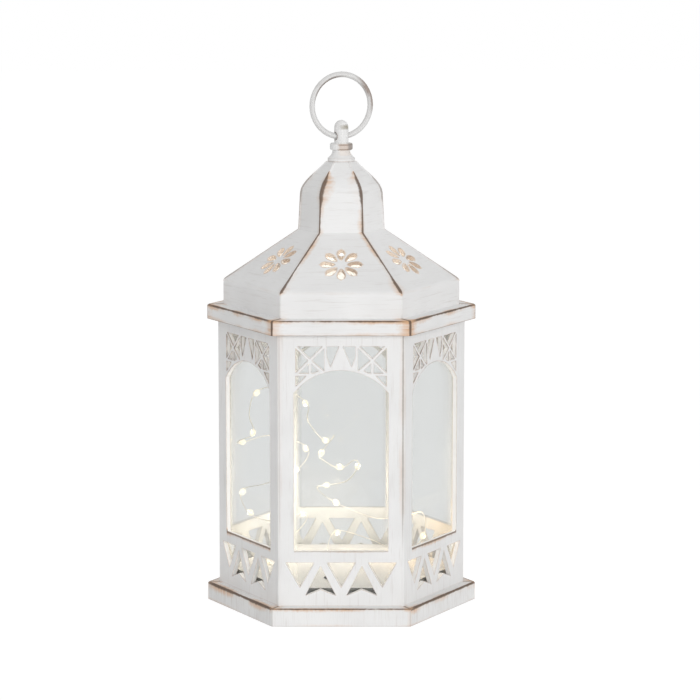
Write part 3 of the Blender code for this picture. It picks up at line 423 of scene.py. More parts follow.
# Places of the CAD's edges: distance from the middle, and height
RIM_OUT = 0.0620
RIM_LOW = 0.1532
RIM_TOP = 0.1610
RISER_OUT = 0.0545
FOLD = 0.1743
SHOULDER = 0.2205
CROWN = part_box("roof")[1].z
PLINTH_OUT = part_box("base_plinth")[1].y
WALL_SEAM = 0.0003
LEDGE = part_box("wall_panel_front")[0].z - WALL_SEAM
WALL_OUT = -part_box("wall_panel_front")[0].y
SILL = 0.0388
WINDOW_HALF = 0.0245

UPRIGHT = (1.0, 1.0, 0.05)  # stretch of brush marks that run up
LEVEL = (0.05, 0.05, 1.0)  # and of those that run round
SLANT = math.sqrt(3) / 2  # cosine of the turn from a side's middle to its corner
OUT_OF_REACH = 0.01  # a distance that no rubbed line spans
OPEN_EDGE = (0.95, 0.60)  # openness measured inside a flat face and inside a worn edge
KEPT_OFF = (0.0007, 0.0014)  # distances from a seam: no wear of edges up to the first, all from the second


def shares_out(g):
    """The parts that width and depth have in how far out of a slanting side a point lies."""
    x, y, _ = g.axes()
    return g.times(g.size(x), SLANT), g.times(g.size(y), 0.5)


def hexagon(g):
    """Distance out of the sides, distance from the corner planes, height, and 1 off the front and back."""
    _, y, z = g.axes()
    deep = g.size(y)
    across, half_deep = shares_out(g)
    flat = g.math("MAXIMUM", deep, g.plus(across, half_deep))
    corner = g.math("MINIMUM", g.size(g.minus(across, half_deep)), deep)
    side = g.fade(g.minus(flat, deep), 0.0002, 0.0010)
    return flat, corner, z, side


def along_side(g, flat):
    """Distance along a side of the hexagon from its middle."""
    x, y, _ = g.axes()
    squares = g.plus(g.times(x, x), g.times(y, y))
    return g.root(g.minus(squares, g.times(flat, flat)))


def from_ring(g, flat, z, ring_flat, ring_z):
    """Distance from a level edge of the hexagon."""
    return g.diagonal(g.minus(flat, ring_flat), g.minus(z, ring_z))


def between(g, value, low, high, soft):
    """1 where a value lies from low to high, with soft ends."""
    above = g.fade(value, low - soft, low + soft)
    return g.times(above, g.fade(value, high - soft, high + soft, 1.0, 0.0))


class Rubbing:
    """Wear that turns white paint tan, and then bronze, near chosen lines."""

    def __init__(self, g, paint, grain):
        self.g = g
        self.paint = paint
        ragged = g.noise(520.0, detail=3.0, rough=0.65, shift=(0.7, 4.3, 2.2))
        patchy = g.noise(48.0, detail=2.0, rough=0.5, shift=(5.2, 0.9, 3.3))
        self.width = g.plus(g.fade(ragged, 0.25, 0.75, 0.72, 1.12), g.vary(patchy, -0.06, 0.34))
        streaky = g.fade(grain, 0.30, 0.62, 0.45, 1.0)
        self.tan = g.times(g.fade(patchy, 0.38, 0.62, 0.12, 0.85), streaky)

    def line(self, distance, widths, share=1.0, swell=None, dark=BRONZE, warm=1.0):
        """Rub a line of the given widths of core and halo, wider where it swells."""
        g = self.g
        core, halo = widths
        measure = g.math("DIVIDE", distance, self.width)
        if swell is not None:
            measure = g.math("DIVIDE", measure, swell)
        fringe = g.times(g.fade(measure, core, halo, 1.0, 0.0), g.times(self.tan, warm))
        middle = g.fade(measure, core * (1.0 - CORE_SOFT), core * (1.0 + CORE_SOFT), 1.0, 0.0)
        self.paint = g.blend(g.times(fringe, share), self.paint, TAN)
        self.paint = g.blend(g.times(middle, share), self.paint, dark)

    def convex(self, reach, share, seam=None):
        """Rub every outward edge, cut-outs too, but for those that lie in a seam."""
        g = self.g
        kind = "ShaderNodeAmbientOcclusion"
        inside = g.add(kind, {"Distance": reach}, inside=True, only_local=True, samples=8)
        worn = g.times(g.fade(inside.outputs["AO"], *OPEN_EDGE), self.width)
        if seam is not None:
            worn = g.times(worn, g.fade(seam, *KEPT_OFF))
        self.paint = g.blend(g.math("MULTIPLY", worn, share, clamp=True), self.paint, BARE)
        return worn


def painted(g, streaks, thinned=0.5):
    """White paint with its brush marks, where more or less of the brown ground comes through."""
    broad = g.noise(36.0, detail=2.0)
    grain = g.noise(780.0, streaks, detail=4.0, rough=0.65)
    hair = g.noise(2300.0, streaks, detail=2.0, shift=(3.1, 1.7, 0.4))
    paint = g.blend(g.fade(broad, 0.35, 0.70, 0.0, thinned), PAINT, PAINT_THIN)
    paint = g.blend(g.fade(grain, 0.54, 0.74, 0.0, 0.30), paint, STREAK)
    paint = g.blend(g.fade(hair, 0.58, 0.74, 0.0, 0.16), paint, STREAK)
    g.set(Roughness=g.vary(grain, 0.46, 0.60), Specular_IOR_Level=0.35)
    g.bump(g.plus(grain, g.times(hair, 0.4)), distance=0.00006, strength=0.5)
    return paint, grain


# Roof

HIP_LINE = (0.00056, 0.0028)
RIM_TOP_LINE = (0.00060, 0.0022)
RIM_LOW_LINE = (0.00025, 0.0020)
RIM_CORNER_LINE = (0.00058, 0.0058)
FOLD_LINE = (0.00018, 0.0012)
HIP_END_GAP = 0.004  # keeps the hips' lines short of the fold and the crown
ROSETTE_SLOPE = (0.0349, 0.0270)  # run and rise of the face it lies on
ROSETTE_AT = (0.0380, 0.1871)  # its middle: distance out, and height
ROSETTE_REACH = 0.012  # no petal comes further in than this from its middle
PETAL_FROM = 0.0030
PETAL_TO = 0.0110
PETAL_HALF = 0.0020
PETAL_POWER = 1.5  # more moves a petal's widest place outwards
# Painted light round the rosettes' petals: cream for the warm light from inside, brown for the shade in the
# thickness of the cut
PETAL_PAINTED_GLOW = (0.86, 0.74, 0.62)
PETAL_PAINTED_SHADE = (0.45, 0.33, 0.25)


def roof_finish():
    """White, rubbed outside along its hips and its rim, plain inside, and with painted light round the petals
    of its rosettes.
    """
    g = Graph("whitewashed_roof")
    flat, corner, z, side = hexagon(g)
    paint, grain = painted(g, LEVEL)
    wear = Rubbing(g, paint, grain)
    wear.convex(reach=0.0005, share=0.6)
    _, y, _ = g.axes()
    deep = g.size(y)
    rub_hips(g, wear, corner, z, side, deep)
    rub_rim(g, wear, flat, corner, z, side, deep)
    shown = g.blend(faces_out(g), paint, wear.paint)
    g.set(Base_Color=rosette_painted_light(g, shown))
    return g


def rub_hips(g, wear, corner, z, side, deep):
    """Lines down the hips, broad at the shoulder and the foot, and thin at the crown."""
    shoulder = between(g, z, SHOULDER - 0.003, CROWN - 0.005, soft=0.004)
    foot = between(g, z, FOLD - 0.001, FOLD + 0.006, soft=0.004)
    taper = g.fade(z, CROWN - 0.0110, CROWN - 0.0030, 1.0, 0.12)
    swell = g.times(g.plus(g.times(shoulder, 1.1), g.times(foot, 0.8), 0.85), taper)
    ends = g.minus(1.0, between(g, z, FOLD - 0.0012, CROWN - 0.0030, soft=0.0018))
    hip = g.plus(corner, g.times(ends, HIP_END_GAP))
    faint = g.fade(deep, 0.002, 0.007, 0.55, 0.92)
    wear.line(hip, HIP_LINE, faint, swell, warm=g.ease(side, 0.95, 0.35))


def rub_rim(g, wear, flat, corner, z, side, deep):
    """Lines along both edges of the rim, at its corners and at the foot of the slopes."""
    wear.line(from_ring(g, flat, z, RIM_OUT, RIM_TOP), RIM_TOP_LINE, swell=g.linear(side, 0.35, 0.9))
    wear.line(from_ring(g, flat, z, RIM_OUT, RIM_LOW), RIM_LOW_LINE, share=0.55)
    above = g.times(g.fade(z, RIM_TOP, RIM_TOP + 0.0006), OUT_OF_REACH)
    warm = g.fade(deep, 0.010, 0.030, 0.45, 1.2)
    wear.line(g.plus(corner, above), RIM_CORNER_LINE, share=0.95, warm=warm)
    wear.line(from_ring(g, flat, z, RISER_OUT, FOLD), FOLD_LINE, share=0.15)


def faces_out(g):
    """0 on surfaces that look towards the middle axis, 1 on all others."""
    x, y, _ = g.axes()
    away = g.facing()
    return g.fade(g.plus(g.times(away[0], x), g.times(away[1], y)), -0.004, -0.001)


def rosette_painted_light(g, paint):
    """Painted light round the petals: a cream rim that stands in for the warm light from inside, with painted
    shade in brown on the right and lower rims.
    """
    x, y, z = g.axes()
    lean = math.atan2(ROSETTE_SLOPE[1], ROSETTE_SLOPE[0])
    shown = paint
    for turn in angles(6):
        out_x, out_y = math.sin(turn), -math.cos(turn)
        out = g.plus(g.times(x, out_x), g.times(y, out_y))
        u = g.plus(g.times(x, -out_y), g.times(y, out_x))
        down = g.times(g.minus(out, ROSETTE_AT[0]), math.cos(lean))
        rise = g.times(g.minus(z, ROSETTE_AT[1]), math.sin(lean))
        facing = g.math("GREATER_THAN", out, ROSETTE_AT[0] - ROSETTE_REACH)
        shown = petal_painted_light(g, shown, u, g.minus(rise, down), facing)
    return shown


def petal_painted_light(g, paint, u, v, facing):
    """Painted light and shade round eight petals that lie at distances u across and v up from their middle.
    """
    reach = g.diagonal(u, v)
    angle = g.math("ARCTAN2", v, u)
    eighth = math.pi / 4
    nearest = g.math("ROUND", g.math("DIVIDE", angle, eighth))
    turned = g.minus(angle, g.times(nearest, eighth))
    along = g.times(reach, g.math("COSINE", turned))
    off = g.times(reach, g.size(g.math("SINE", turned)))
    share = g.math("DIVIDE", g.minus(along, PETAL_FROM), PETAL_TO - PETAL_FROM, clamp=True)
    hump = g.math("SINE", g.times(g.math("POWER", share, PETAL_POWER), math.pi))
    beside = g.minus(off, g.times(g.root(hump), PETAL_HALF))
    ragged = g.noise(900.0, detail=2.0, shift=(0.2, 3.1, 1.4))
    near = g.fade(g.plus(beside, g.times(ragged, 0.0006)), 0.0003, 0.0012, 1.0, 0.0)
    inside = between(g, along, PETAL_FROM + 0.0004, PETAL_TO + 0.0006, soft=0.0006)
    rim = g.times(near, inside, facing)
    # Painted shade: the brown grows with this measure, on one side of each petal and towards the right
    right = g.times(g.math("COSINE", angle), 0.6)
    lit = g.plus(g.times(g.math("SINE", turned), 3.0), right)
    petal_shade = g.times(rim, g.fade(lit, 0.0, 1.2, 0.12, 0.66))
    return g.blend(petal_shade, g.blend(g.times(rim, 0.8), paint, PETAL_PAINTED_GLOW), PETAL_PAINTED_SHADE)


# Plinth and walls

LEDGE_LINE = (0.00055, 0.0021)
LEDGE_CORNER_LINE = (0.00060, 0.0040)
FOOT_LINE = (0.00022, 0.0014)
PLINTH_CORNER_LINE = (0.00026, 0.0016)
SILL_LINE = (0.00045, 0.0013)
WALL_CORNER_LINE = (0.00032, 0.0019)
ARCH_MIDDLE = 0.1035  # height of the window arches' centre
ARCH_BAND_OUT = 0.0326  # radius of the plain band over the arch
PIERCED_BAND = (0.105, 0.130)  # heights between which its stronger wear sets in
RUBBED_DEPTH = 0.0006  # into the holes of the pierced band
CORNER_LEAN = 0.0007  # how far the rubbed line lies onto the front of a wall's corner
HOLE_EDGE = (0.36, 0.29, 0.25)
# dark brown on the sides of the holes: bare ground and painted shade
HOLE_SIDE_GROUND_AND_SHADE = (0.20, 0.155, 0.125)


def plinth_finish():
    """White with dense streaks, and rubbed along its ledge, its corners and its foot."""
    g = Graph("whitewashed_plinth")
    flat, corner, z, side = hexagon(g)
    paint, grain = painted(g, UPRIGHT, thinned=0.7)
    hair = g.noise(1500.0, UPRIGHT, detail=3.0, rough=0.7, shift=(2.2, 5.1, 0.3))
    dense = g.times(g.fade(hair, 0.52, 0.70), g.linear(side, 0.30, 0.14))
    wear = Rubbing(g, g.blend(dense, paint, STREAK), grain)
    broad = g.linear(side, 0.95, 0.90)
    wear.line(from_ring(g, flat, z, PLINTH_OUT, LEDGE), LEDGE_LINE, swell=broad)
    below = g.times(g.fade(z, LEDGE - 0.0014, LEDGE - 0.0004, 1.0, 0.0), OUT_OF_REACH)
    wear.line(g.plus(corner, below), LEDGE_CORNER_LINE, share=0.8)
    wear.line(from_ring(g, flat, z, PLINTH_OUT, 0.0), FOOT_LINE, share=0.35)
    wear.line(corner, PLINTH_CORNER_LINE, share=0.30, dark=SHADE)
    g.set(Base_Color=wear.paint)
    return g


def wall_finish():
    """White, with rubbed cut-outs and sills, painted shade inside the holes of the pierced bands, and a dull
    line beside each corner.
    """
    g = Graph("whitewashed_wall")
    flat, corner, z, side = hexagon(g)
    paint, grain = painted(g, UPRIGHT)
    wear = Rubbing(g, paint, grain)
    rub_holes(g, wear, flat, corner, z, side)
    rub_sill(g, wear, flat, z, side)
    rub_corner(g, wear, flat, z)
    g.set(Base_Color=wear.paint)
    return g


def rub_holes(g, wear, flat, corner, z, side):
    """Worn edges round all cut-outs, and the most in the pierced bands of the slanting sides, where the sides
    of the holes turn dark brown: bare ground, and painted shade that is deeper on the left.
    """
    x, _, _ = g.axes()
    patches = g.fade(g.noise(150.0, detail=2.0, shift=(4.1, 0.2, 1.9)), 0.35, 0.60, 0.25, 1.0)
    pierced = g.times(g.fade(z, *PIERCED_BAND), side)
    worn = wear.convex(reach=0.00045, share=g.linear(g.times(pierced, patches), 0.20, 0.5), seam=corner)
    spots = g.fade(g.noise(300.0, detail=2.0, shift=(2.6, 1.1, 0.7)), 0.48, 0.58, 0.0, 0.75)
    dark = g.math("MULTIPLY", g.times(worn, spots), pierced, clamp=True)
    wear.paint = g.blend(dark, wear.paint, HOLE_EDGE)
    # Painted shade, with some bare ground, on the sides of the holes; less of it on the right
    less_right = g.fade(x, 0.042, 0.050, 0.78, 0.38)
    bare = g.times(hole_sides(g, flat, z), pierced, patches, less_right)
    wear.paint = g.blend(bare, wear.paint, HOLE_SIDE_GROUND_AND_SHADE)


def hole_sides(g, flat, z):
    """1 just inside the outer edges of the holes above a panel's arch."""
    reach = g.diagonal(along_side(g, flat), g.minus(z, ARCH_MIDDLE))
    above = g.fade(reach, ARCH_BAND_OUT - 0.0006, ARCH_BAND_OUT - 0.0002)
    return g.times(above, between(g, flat, WALL_OUT - RUBBED_DEPTH, WALL_OUT - 0.0001, soft=0.0001))


def rub_sill(g, wear, flat, z, side):
    """A line along the outer edge of the window sill."""
    edge = from_ring(g, flat, z, WALL_OUT, SILL)
    beyond = g.fade(along_side(g, flat), WINDOW_HALF, WINDOW_HALF + 0.0010)
    within = g.fade(flat, WALL_OUT - 0.0010, WALL_OUT - 0.0005, 1.0, 0.0)
    strong = g.linear(side, 0.32, 0.5)
    wear.line(g.plus(edge, beyond, within), SILL_LINE, strong, swell=g.linear(side, 0.85, 0.75))


def rub_corner(g, wear, flat, z):
    """A dull line beside the corners, faint on the left and low down."""
    x, _, _ = g.axes()
    across, half_deep = shares_out(g)
    beside = g.size(g.plus(g.minus(across, half_deep), CORNER_LEAN))
    high = g.times(g.fade(z, 0.034, 0.066, 0.06, 1.0), g.fade(x, -0.01, 0.01, 0.24, 0.68))
    outside = g.fade(flat, WALL_OUT - 0.0012, WALL_OUT - 0.0006)
    wear.line(beside, WALL_CORNER_LINE, g.times(high, outside), dark=SHADE, warm=0.5)


# Finial and ring

FINIAL_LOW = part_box("finial")[0].z
NECK_LOW = FINIAL_LOW + 0.0030
COLLAR_LOW = FINIAL_LOW + 0.0058
COLLAR_HIGH = FINIAL_LOW + 0.0092
EYE_LOW = FINIAL_LOW + 0.0168
EYE_HIGH = FINIAL_LOW + 0.0190
COLLAR = (0.64, 0.52, 0.44)
COLLAR_RIM = (0.33, 0.24, 0.19)
COLLAR_END = (0.28, 0.25, 0.23)
EYE_PATCH = (0.33, 0.30, 0.23)
NECK = (0.80, 0.62, 0.48)

RING_WIRE_HALF = 0.0015
RING_SILVER = (0.70, 0.695, 0.69)
RING_DULL = (0.685, 0.68, 0.672)
RING_BROWN = (0.31, 0.245, 0.21)  # where it is rubbed on the right
RING_DARK = (0.22, 0.175, 0.15)  # and elsewhere

# Stretches of the ring without silver, as angles in radians up from the right
RUBBED_LEFT = (1.65, 2.85)
RUBBED_RIGHT = (0.32, 0.80)
RUBBED_OUTSIDE = (-0.15, 0.95)


def finial_finish():
    """White, with a rubbed neck and collar at the right and a dark patch on the eye's shoulder."""
    g = Graph("whitewashed_finial")
    paint, grain = painted(g, LEVEL)
    wear = Rubbing(g, paint, grain)
    wear.convex(reach=0.0004, share=0.5)
    x, _, z = g.axes()
    ragged = g.noise(620.0, detail=3.0, shift=(1.0, 2.0, 3.0))
    right = g.fade(g.plus(x, g.times(ragged, 0.002)), -0.0014, 0.0008)
    collar = between(g, z, COLLAR_LOW, COLLAR_HIGH, soft=0.0002)
    shown = g.blend(g.times(collar, right, 0.80), wear.paint, COLLAR)
    for height in (COLLAR_LOW + 0.0004, COLLAR_HIGH - 0.0006):
        rim = between(g, z, height - 0.0003, height + 0.0003, soft=0.0003)
        shown = g.blend(g.times(rim, right, 0.85), shown, COLLAR_RIM)
    end = g.fade(x, 0.0030, 0.0042)
    shown = g.blend(g.times(collar, end, 0.75), shown, COLLAR_END)
    shoulder = g.times(between(g, z, EYE_LOW, EYE_HIGH, soft=0.0007), g.fade(x, -0.0018, 0.0004))
    darker = g.times(g.fade(x, -0.0010, 0.0028, 0.40, 0.85), g.fade(ragged, 0.25, 0.6, 0.75, 1.0))
    shown = g.blend(g.times(shoulder, darker), shown, EYE_PATCH)
    neck = between(g, z, NECK_LOW, COLLAR_LOW, soft=0.0004)
    g.set(Base_Color=g.blend(g.times(neck, right, 0.25), shown, NECK))
    return g


def ring_finish():
    """Silvered wire, with the silver rubbed off in places down to bronze."""
    g = Graph("silvered_ring")
    fine = g.noise(1100.0, detail=3.0)
    broad = g.noise(120.0, detail=2.0, shift=(2.0, 0.6, 0.1))
    low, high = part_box("carry_ring")
    middle = (low + high) / 2
    across = Vector((high.x - low.x, high.y - low.y)).normalized()
    wide = (high.z - low.z) / 2 - RING_WIRE_HALF
    x, y, z = g.axes()
    up = g.minus(z, middle.z)
    side = g.plus(g.times(x, across.x), g.times(y, across.y))
    angle = g.math("ARCTAN2", up, side)
    out = g.diagonal(side, up)
    inner = g.fade(out, wide + 0.0002, wide - 0.0010)
    outer = g.fade(out, wide - 0.0010, wide + 0.0006)
    front = g.fade(out, wide - 0.0020, wide - 0.0004)
    left = g.times(inner, between(g, angle, *RUBBED_LEFT, soft=0.30))
    right = g.times(front, between(g, angle, *RUBBED_RIGHT, soft=0.18))
    right = g.math("MAXIMUM", right, g.times(outer, between(g, angle, *RUBBED_OUTSIDE, soft=0.25)))
    worn = g.math("MAXIMUM", left, g.times(right, 0.95))
    worn = g.times(worn, g.fade(fine, 0.25, 0.50, 0.8, 1.0))
    worn = g.math("MAXIMUM", worn, g.fade(broad, 0.62, 0.74, 0.0, 0.15))
    silver = g.blend(g.fade(fine, 0.35, 0.65), RING_SILVER, RING_DULL)
    bronze = g.blend(right, RING_DARK, RING_BROWN)
    g.set(Base_Color=g.blend(worn, silver, bronze), Metallic=g.ease(worn, 0.20, 0.08))
    g.set(Roughness=g.vary(fine, 0.48, 0.54))
    g.bump(broad, distance=0.00004, strength=0.3)
    return g


# Painted seams

SEAM = FINIAL_LOW - CROWN
SEAM_PLAY = 0.00001
SEAM_DEPTH = 0.0010
PAINT_BACK = 0.00003  # how far the paint in a seam lies behind the faces beside it
FINIAL_FOOT = 0.0067


def seam_finish():
    g = Graph("whitewashed_seam")
    paint, _ = painted(g, UPRIGHT)
    g.set(Base_Color=paint)
    return g


def ring_of_paint(work, corners, outer, low):
    """Paint in a level seam whose lower side lies at a height."""
    foot = upward(low + SEAM_PLAY)
    head = upward(low + SEAM - SEAM_PLAY)
    inner = outer - SEAM_DEPTH
    rings = []
    for angle in angles(corners):
        out = outward(angle)
        rings.append([out * outer + foot, out * outer + head, out * inner + head, out * inner + foot])
    skin(work, rings, closed=True)


def corner_paint(work, angle, tip, low, high):
    """Paint in the upright seam at one corner of the walls."""
    out = outward(angle)
    side = Vector((-out.y, out.x, 0.0))
    half = SEAM / 2 - SEAM_PLAY
    shoulder = tip - half / math.sqrt(3)
    section = [(tip, 0.0), (shoulder, half), (tip - SEAM_DEPTH, half)]
    section += [(tip - SEAM_DEPTH, -half), (shoulder, -half)]
    rings = []
    for z in (low, high):
        rings.append([out * reach + side * off + upward(z) for reach, off in section])
    skin(work, rings)


def fill_seams():
    """Paint that bridges the seams round the walls and under the finial."""
    work = bmesh.new()
    tip = (WALL_OUT - PAINT_BACK) / SLANT
    ring_of_paint(work, 6, tip, LEDGE)
    ring_of_paint(work, 32, FINIAL_FOOT, CROWN)
    for angle in angles(6):
        corner_paint(work, angle, tip, LEDGE + SEAM, RIM_LOW)
    filling = object_of("seam_paint", mesh_of("seam_paint", work, smooth=False))
    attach(filling, "lantern")
    return filling


dress(roof_finish(), "roof")
dress(plinth_finish(), "base_plinth")
dress(wall_finish(), *named("wall_panel_"))
dress(seam_finish(), fill_seams())
dress(finial_finish(), "finial")
dress(ring_finish(), "carry_ring")

# Panes and the lit string

WHITE = (1.0, 1.0, 1.0)
PANE_TINT = (0.906, 0.912, 0.911)
PANE_HAZE = (0.9, 0.9, 0.88)
PANE_MIRROR = 0.035  # share of the light that a pane mirrors when it is seen straight on
PANE_RIM = 0.0030  # width of the cloudier strip at a pane's upright edges
PANE_RIM_HAZE = 0.30
PANE_RIM_ACROSS = (-0.031, -0.004)  # where the strip is cloudiest
PANE_GLOW_HAZE = 0.06  # of the front pane, where the light drops crowd behind it
PANE_GLOW_ACROSS = (-0.026, 0.006)
PANE_GLOW_UP = (0.052, 0.080)
RESIN = (1.0, 0.95, 0.83)
RESIN_WARM = (1.0, 0.91, 0.72)
CHIP_MIDDLE = (1.0, 0.96, 0.82)
CHIP_END = (1.0, 0.80, 0.50)
WIRE_PALE = (0.96, 0.92, 0.82)
WIRE_DEEP = (0.90, 0.84, 0.70)

# How strongly the lit pieces shine
RESIN_LIGHT = (0.24, 0.32)
CHIP_LIGHT = (4.5, 2.0)  # in its middle and at its ends
# painted glow of the wire, which is no lamp, for the drops' light on it
WIRE_PAINTED_GLOW = 0.16


def pane_finish():
    """Clear sheet: lets light straight through, a little less of it, and mirrors more at a slant."""
    g = Graph("clear_pane")
    g.tree.nodes.remove(g.shader)
    clear = g.add("ShaderNodeBsdfTransparent", {"Color": PANE_TINT})
    smear = g.noise(60.0, (1.0, 1.0, 0.4))
    gloss = g.add("ShaderNodeBsdfGlossy", {"Color": WHITE, "Roughness": g.vary(smear, 0.0, 0.02)})
    slant = g.add("ShaderNodeLayerWeight", {"Blend": 0.5}).outputs["Facing"]
    mirrored = g.linear(g.math("POWER", slant, 5.0), 0.96, PANE_MIRROR)
    haze = g.add("ShaderNodeBsdfTranslucent", {"Color": PANE_HAZE})
    cloudy = g.plus(g.vary(smear, 0.006, 0.020), pane_rims(g), pane_glow(g))
    misted = g.add("ShaderNodeMixShader", {0: cloudy, 1: clear.outputs[0], 2: haze.outputs[0]})
    mixed = g.add("ShaderNodeMixShader", {0: mirrored, 1: misted.outputs[0], 2: gloss.outputs[0]})
    g.put(g.output.inputs["Surface"], mixed.outputs[0])
    return g


def pane_rims(g):
    """Haze along the upright edges."""
    flat = hexagon(g)[0]
    x, _, _ = g.axes()
    rim = g.fade(along_side(g, flat), WINDOW_HALF - PANE_RIM, WINDOW_HALF - 0.0004, 0.0, PANE_RIM_HAZE)
    return g.times(rim, g.linear(between(g, x, *PANE_RIM_ACROSS, soft=0.004), 0.8, 0.2))


def pane_glow(g):
    """Haze in front of the drops, on the front pane alone."""
    x, y, z = g.axes()
    across = between(g, x, *PANE_GLOW_ACROSS, soft=0.014)
    up = between(g, z, *PANE_GLOW_UP, soft=0.022)
    return g.times(across, up, g.fade(y, -0.02, 0.02, 1.0, 0.0), PANE_GLOW_HAZE)


def resin_finish():
    """Clear resin, a little cloudy, that takes up some of its chip's warm light."""
    g = Graph("clear_resin")
    speck = g.noise(900.0, detail=2.0)
    warm = g.blend(speck, RESIN, RESIN_WARM)
    g.set(Base_Color=warm, Roughness=g.vary(speck, 0.06, 0.16))
    g.set(Emission_Color=warm, Emission_Strength=g.vary(speck, *RESIN_LIGHT))
    g.set(Transmission_Weight=0.90, IOR=1.33)
    return g


def chip_finish():
    """Lit chip: nearly white in its middle, amber at its ends."""
    g = Graph("lit_chip")
    _, _, z = g.axes()
    speck = g.noise(1500.0, detail=2.0)
    end = g.fade(g.plus(g.size(z), g.times(speck, 0.0004)), 0.0006, 0.0012)
    lit = g.blend(end, CHIP_MIDDLE, CHIP_END)
    g.set(Base_Color=lit, Emission_Color=lit, Emission_Strength=g.ease(end, *CHIP_LIGHT))
    return g


def wire_finish():
    """Pale lacquered metal, with a faint painted glow that stands in for the drops' light along it."""
    g = Graph("lacquered_wire")
    grain = g.noise(1800.0, detail=2.0)
    tint = g.blend(grain, WIRE_PALE, WIRE_DEEP)
    g.set(Base_Color=tint, Metallic=g.vary(grain, 0.15, 0.3), Roughness=g.vary(grain, 0.26, 0.40))
    g.set(Emission_Color=tint, Emission_Strength=WIRE_PAINTED_GLOW, Coat_Weight=0.5)
    g.bump(grain, distance=0.00002, strength=0.4)
    return g


dress(pane_finish(), *named("pane_"))
dress(wire_finish(), wire)
dress(resin_finish(), beads[0])
beads[0].data.materials.append(chip_finish().material)

# Inside and under the base

FLOOR_WHITE = (0.70, 0.69, 0.67)
FLOOR_WHITE_DULL = (0.64, 0.63, 0.61)
# painted shade on the chamber floor's upright edge
CHAMBER_FLOOR_EDGE_SHADE = (0.205, 0.202, 0.182)
IVORY = (0.79, 0.77, 0.73)
IVORY_DULL = (0.74, 0.72, 0.68)
BLACK = (0.030, 0.030, 0.031)
BLACK_DULL = (0.042, 0.041, 0.040)
RUBBER = (0.022, 0.022, 0.022)
RUBBER_DULL = (0.032, 0.031, 0.030)
PLATED = (0.66, 0.65, 0.62)
PLATED_DULL = (0.58, 0.57, 0.54)
BARE_STEEL = (0.62, 0.61, 0.59)
SLEEVE = (0.05, 0.055, 0.065)
SLEEVE_PALE = (0.36, 0.37, 0.38)
SLEEVE_SCRATCH = (0.25, 0.25, 0.26)
SLEEVE_END = 0.0250  # along a cell from its middle
PALE_MIDDLE = 0.0085
PALE_HALF = 0.0041
BOARD = (0.03, 0.17, 0.075)
BOARD_PALE = (0.045, 0.22, 0.10)
SOLDER = (0.72, 0.70, 0.64)
PADS_TO_THE_METRE = 270.0
PAD_ROW = -0.0368  # where their row lies, front to back
PAD_HALF = 0.0007


def moulded(name, base, dull, rough=(0.40, 0.52)):
    """Plain moulded plastic with a fine grain and slight clouding."""
    g = Graph(name)
    cloud = g.noise(45.0, detail=2.0)
    grain = g.noise(2400.0, detail=3.0, rough=0.6, shift=(1.3, 0.2, 2.1))
    g.set(Base_Color=g.blend(g.vary(cloud), base, dull), Roughness=g.vary(grain, *rough))
    g.bump(grain, distance=0.00003, strength=0.5)
    return g


def floor_finish():
    """White floor of the chamber, with painted shade, a dark grey, on its upright edge."""
    g = moulded("chamber_floor_plastic", FLOOR_WHITE, FLOOR_WHITE_DULL, rough=(0.18, 0.28))
    # Painted shade on the upright edge, where the gap under the floor lies in shadow
    bare = g.fade(g.facing()[2], 0.9, 0.3)
    shown = g.shader.inputs["Base Color"].links[0].from_socket
    g.set(Base_Color=g.blend(bare, shown, CHAMBER_FLOOR_EDGE_SHADE))
    return g


def plated():
    """Brushed and plated steel."""
    g = Graph("plated_steel_brushed")
    grain = g.noise(2200.0, (1.0, 0.15, 1.0), rough=0.6)
    cloud = g.noise(160.0, detail=2.0)
    g.set(Base_Color=g.blend(cloud, PLATED, PLATED_DULL))
    g.set(Metallic=1.0, Roughness=g.vary(grain, 0.20, 0.38))
    g.bump(grain, distance=0.00002, strength=0.5)
    return g


def battery_finish():
    """Wrapped cell: a dark sleeve with a pale band at one end, and bare steel end faces."""
    g = Graph("battery_sleeve")
    x, _, _ = g.axes()
    scratch = g.noise(1100.0, (0.1, 1.0, 1.0))
    ends = g.fade(g.size(x), SLEEVE_END, SLEEVE_END + 0.0002)
    band = g.fade(g.size(g.minus(x, PALE_MIDDLE)), PALE_HALF + 0.0001, PALE_HALF - 0.0001)
    sleeve = g.blend(band, SLEEVE, SLEEVE_PALE)
    sleeve = g.blend(g.fade(scratch, 0.6, 0.75, 0.0, 0.25), sleeve, SLEEVE_SCRATCH)
    g.set(Base_Color=g.blend(ends, sleeve, BARE_STEEL), Metallic=g.ease(ends, 0.25, 1.0))
    g.set(Roughness=g.vary(scratch, 0.24, 0.36))
    g.bump(scratch, distance=0.00002, strength=0.4)
    return g


def board_finish():
    """Lacquered board: green, with a woven ground and a row of pale solder pads."""
    g = Graph("board_lacquer")
    weave = g.noise(3000.0, (1.0, 0.4, 1.0), detail=2.0)
    x, y, _ = g.axes()
    row = g.size(g.minus(g.math("FRACT", g.times(x, PADS_TO_THE_METRE)), 0.5))
    line = g.size(g.plus(y, -PAD_ROW))
    pads = g.times(g.fade(row, 0.28, 0.20), g.fade(line, PAD_HALF + 0.0001, PAD_HALF - 0.0001))
    ground = g.blend(weave, BOARD, BOARD_PALE)
    g.set(Base_Color=g.blend(pads, ground, SOLDER), Metallic=g.ease(pads, 0.0, 0.8))
    g.set(Roughness=g.vary(weave, 0.25, 0.36))
    g.bump(weave, distance=0.00002, strength=0.4)
    return g


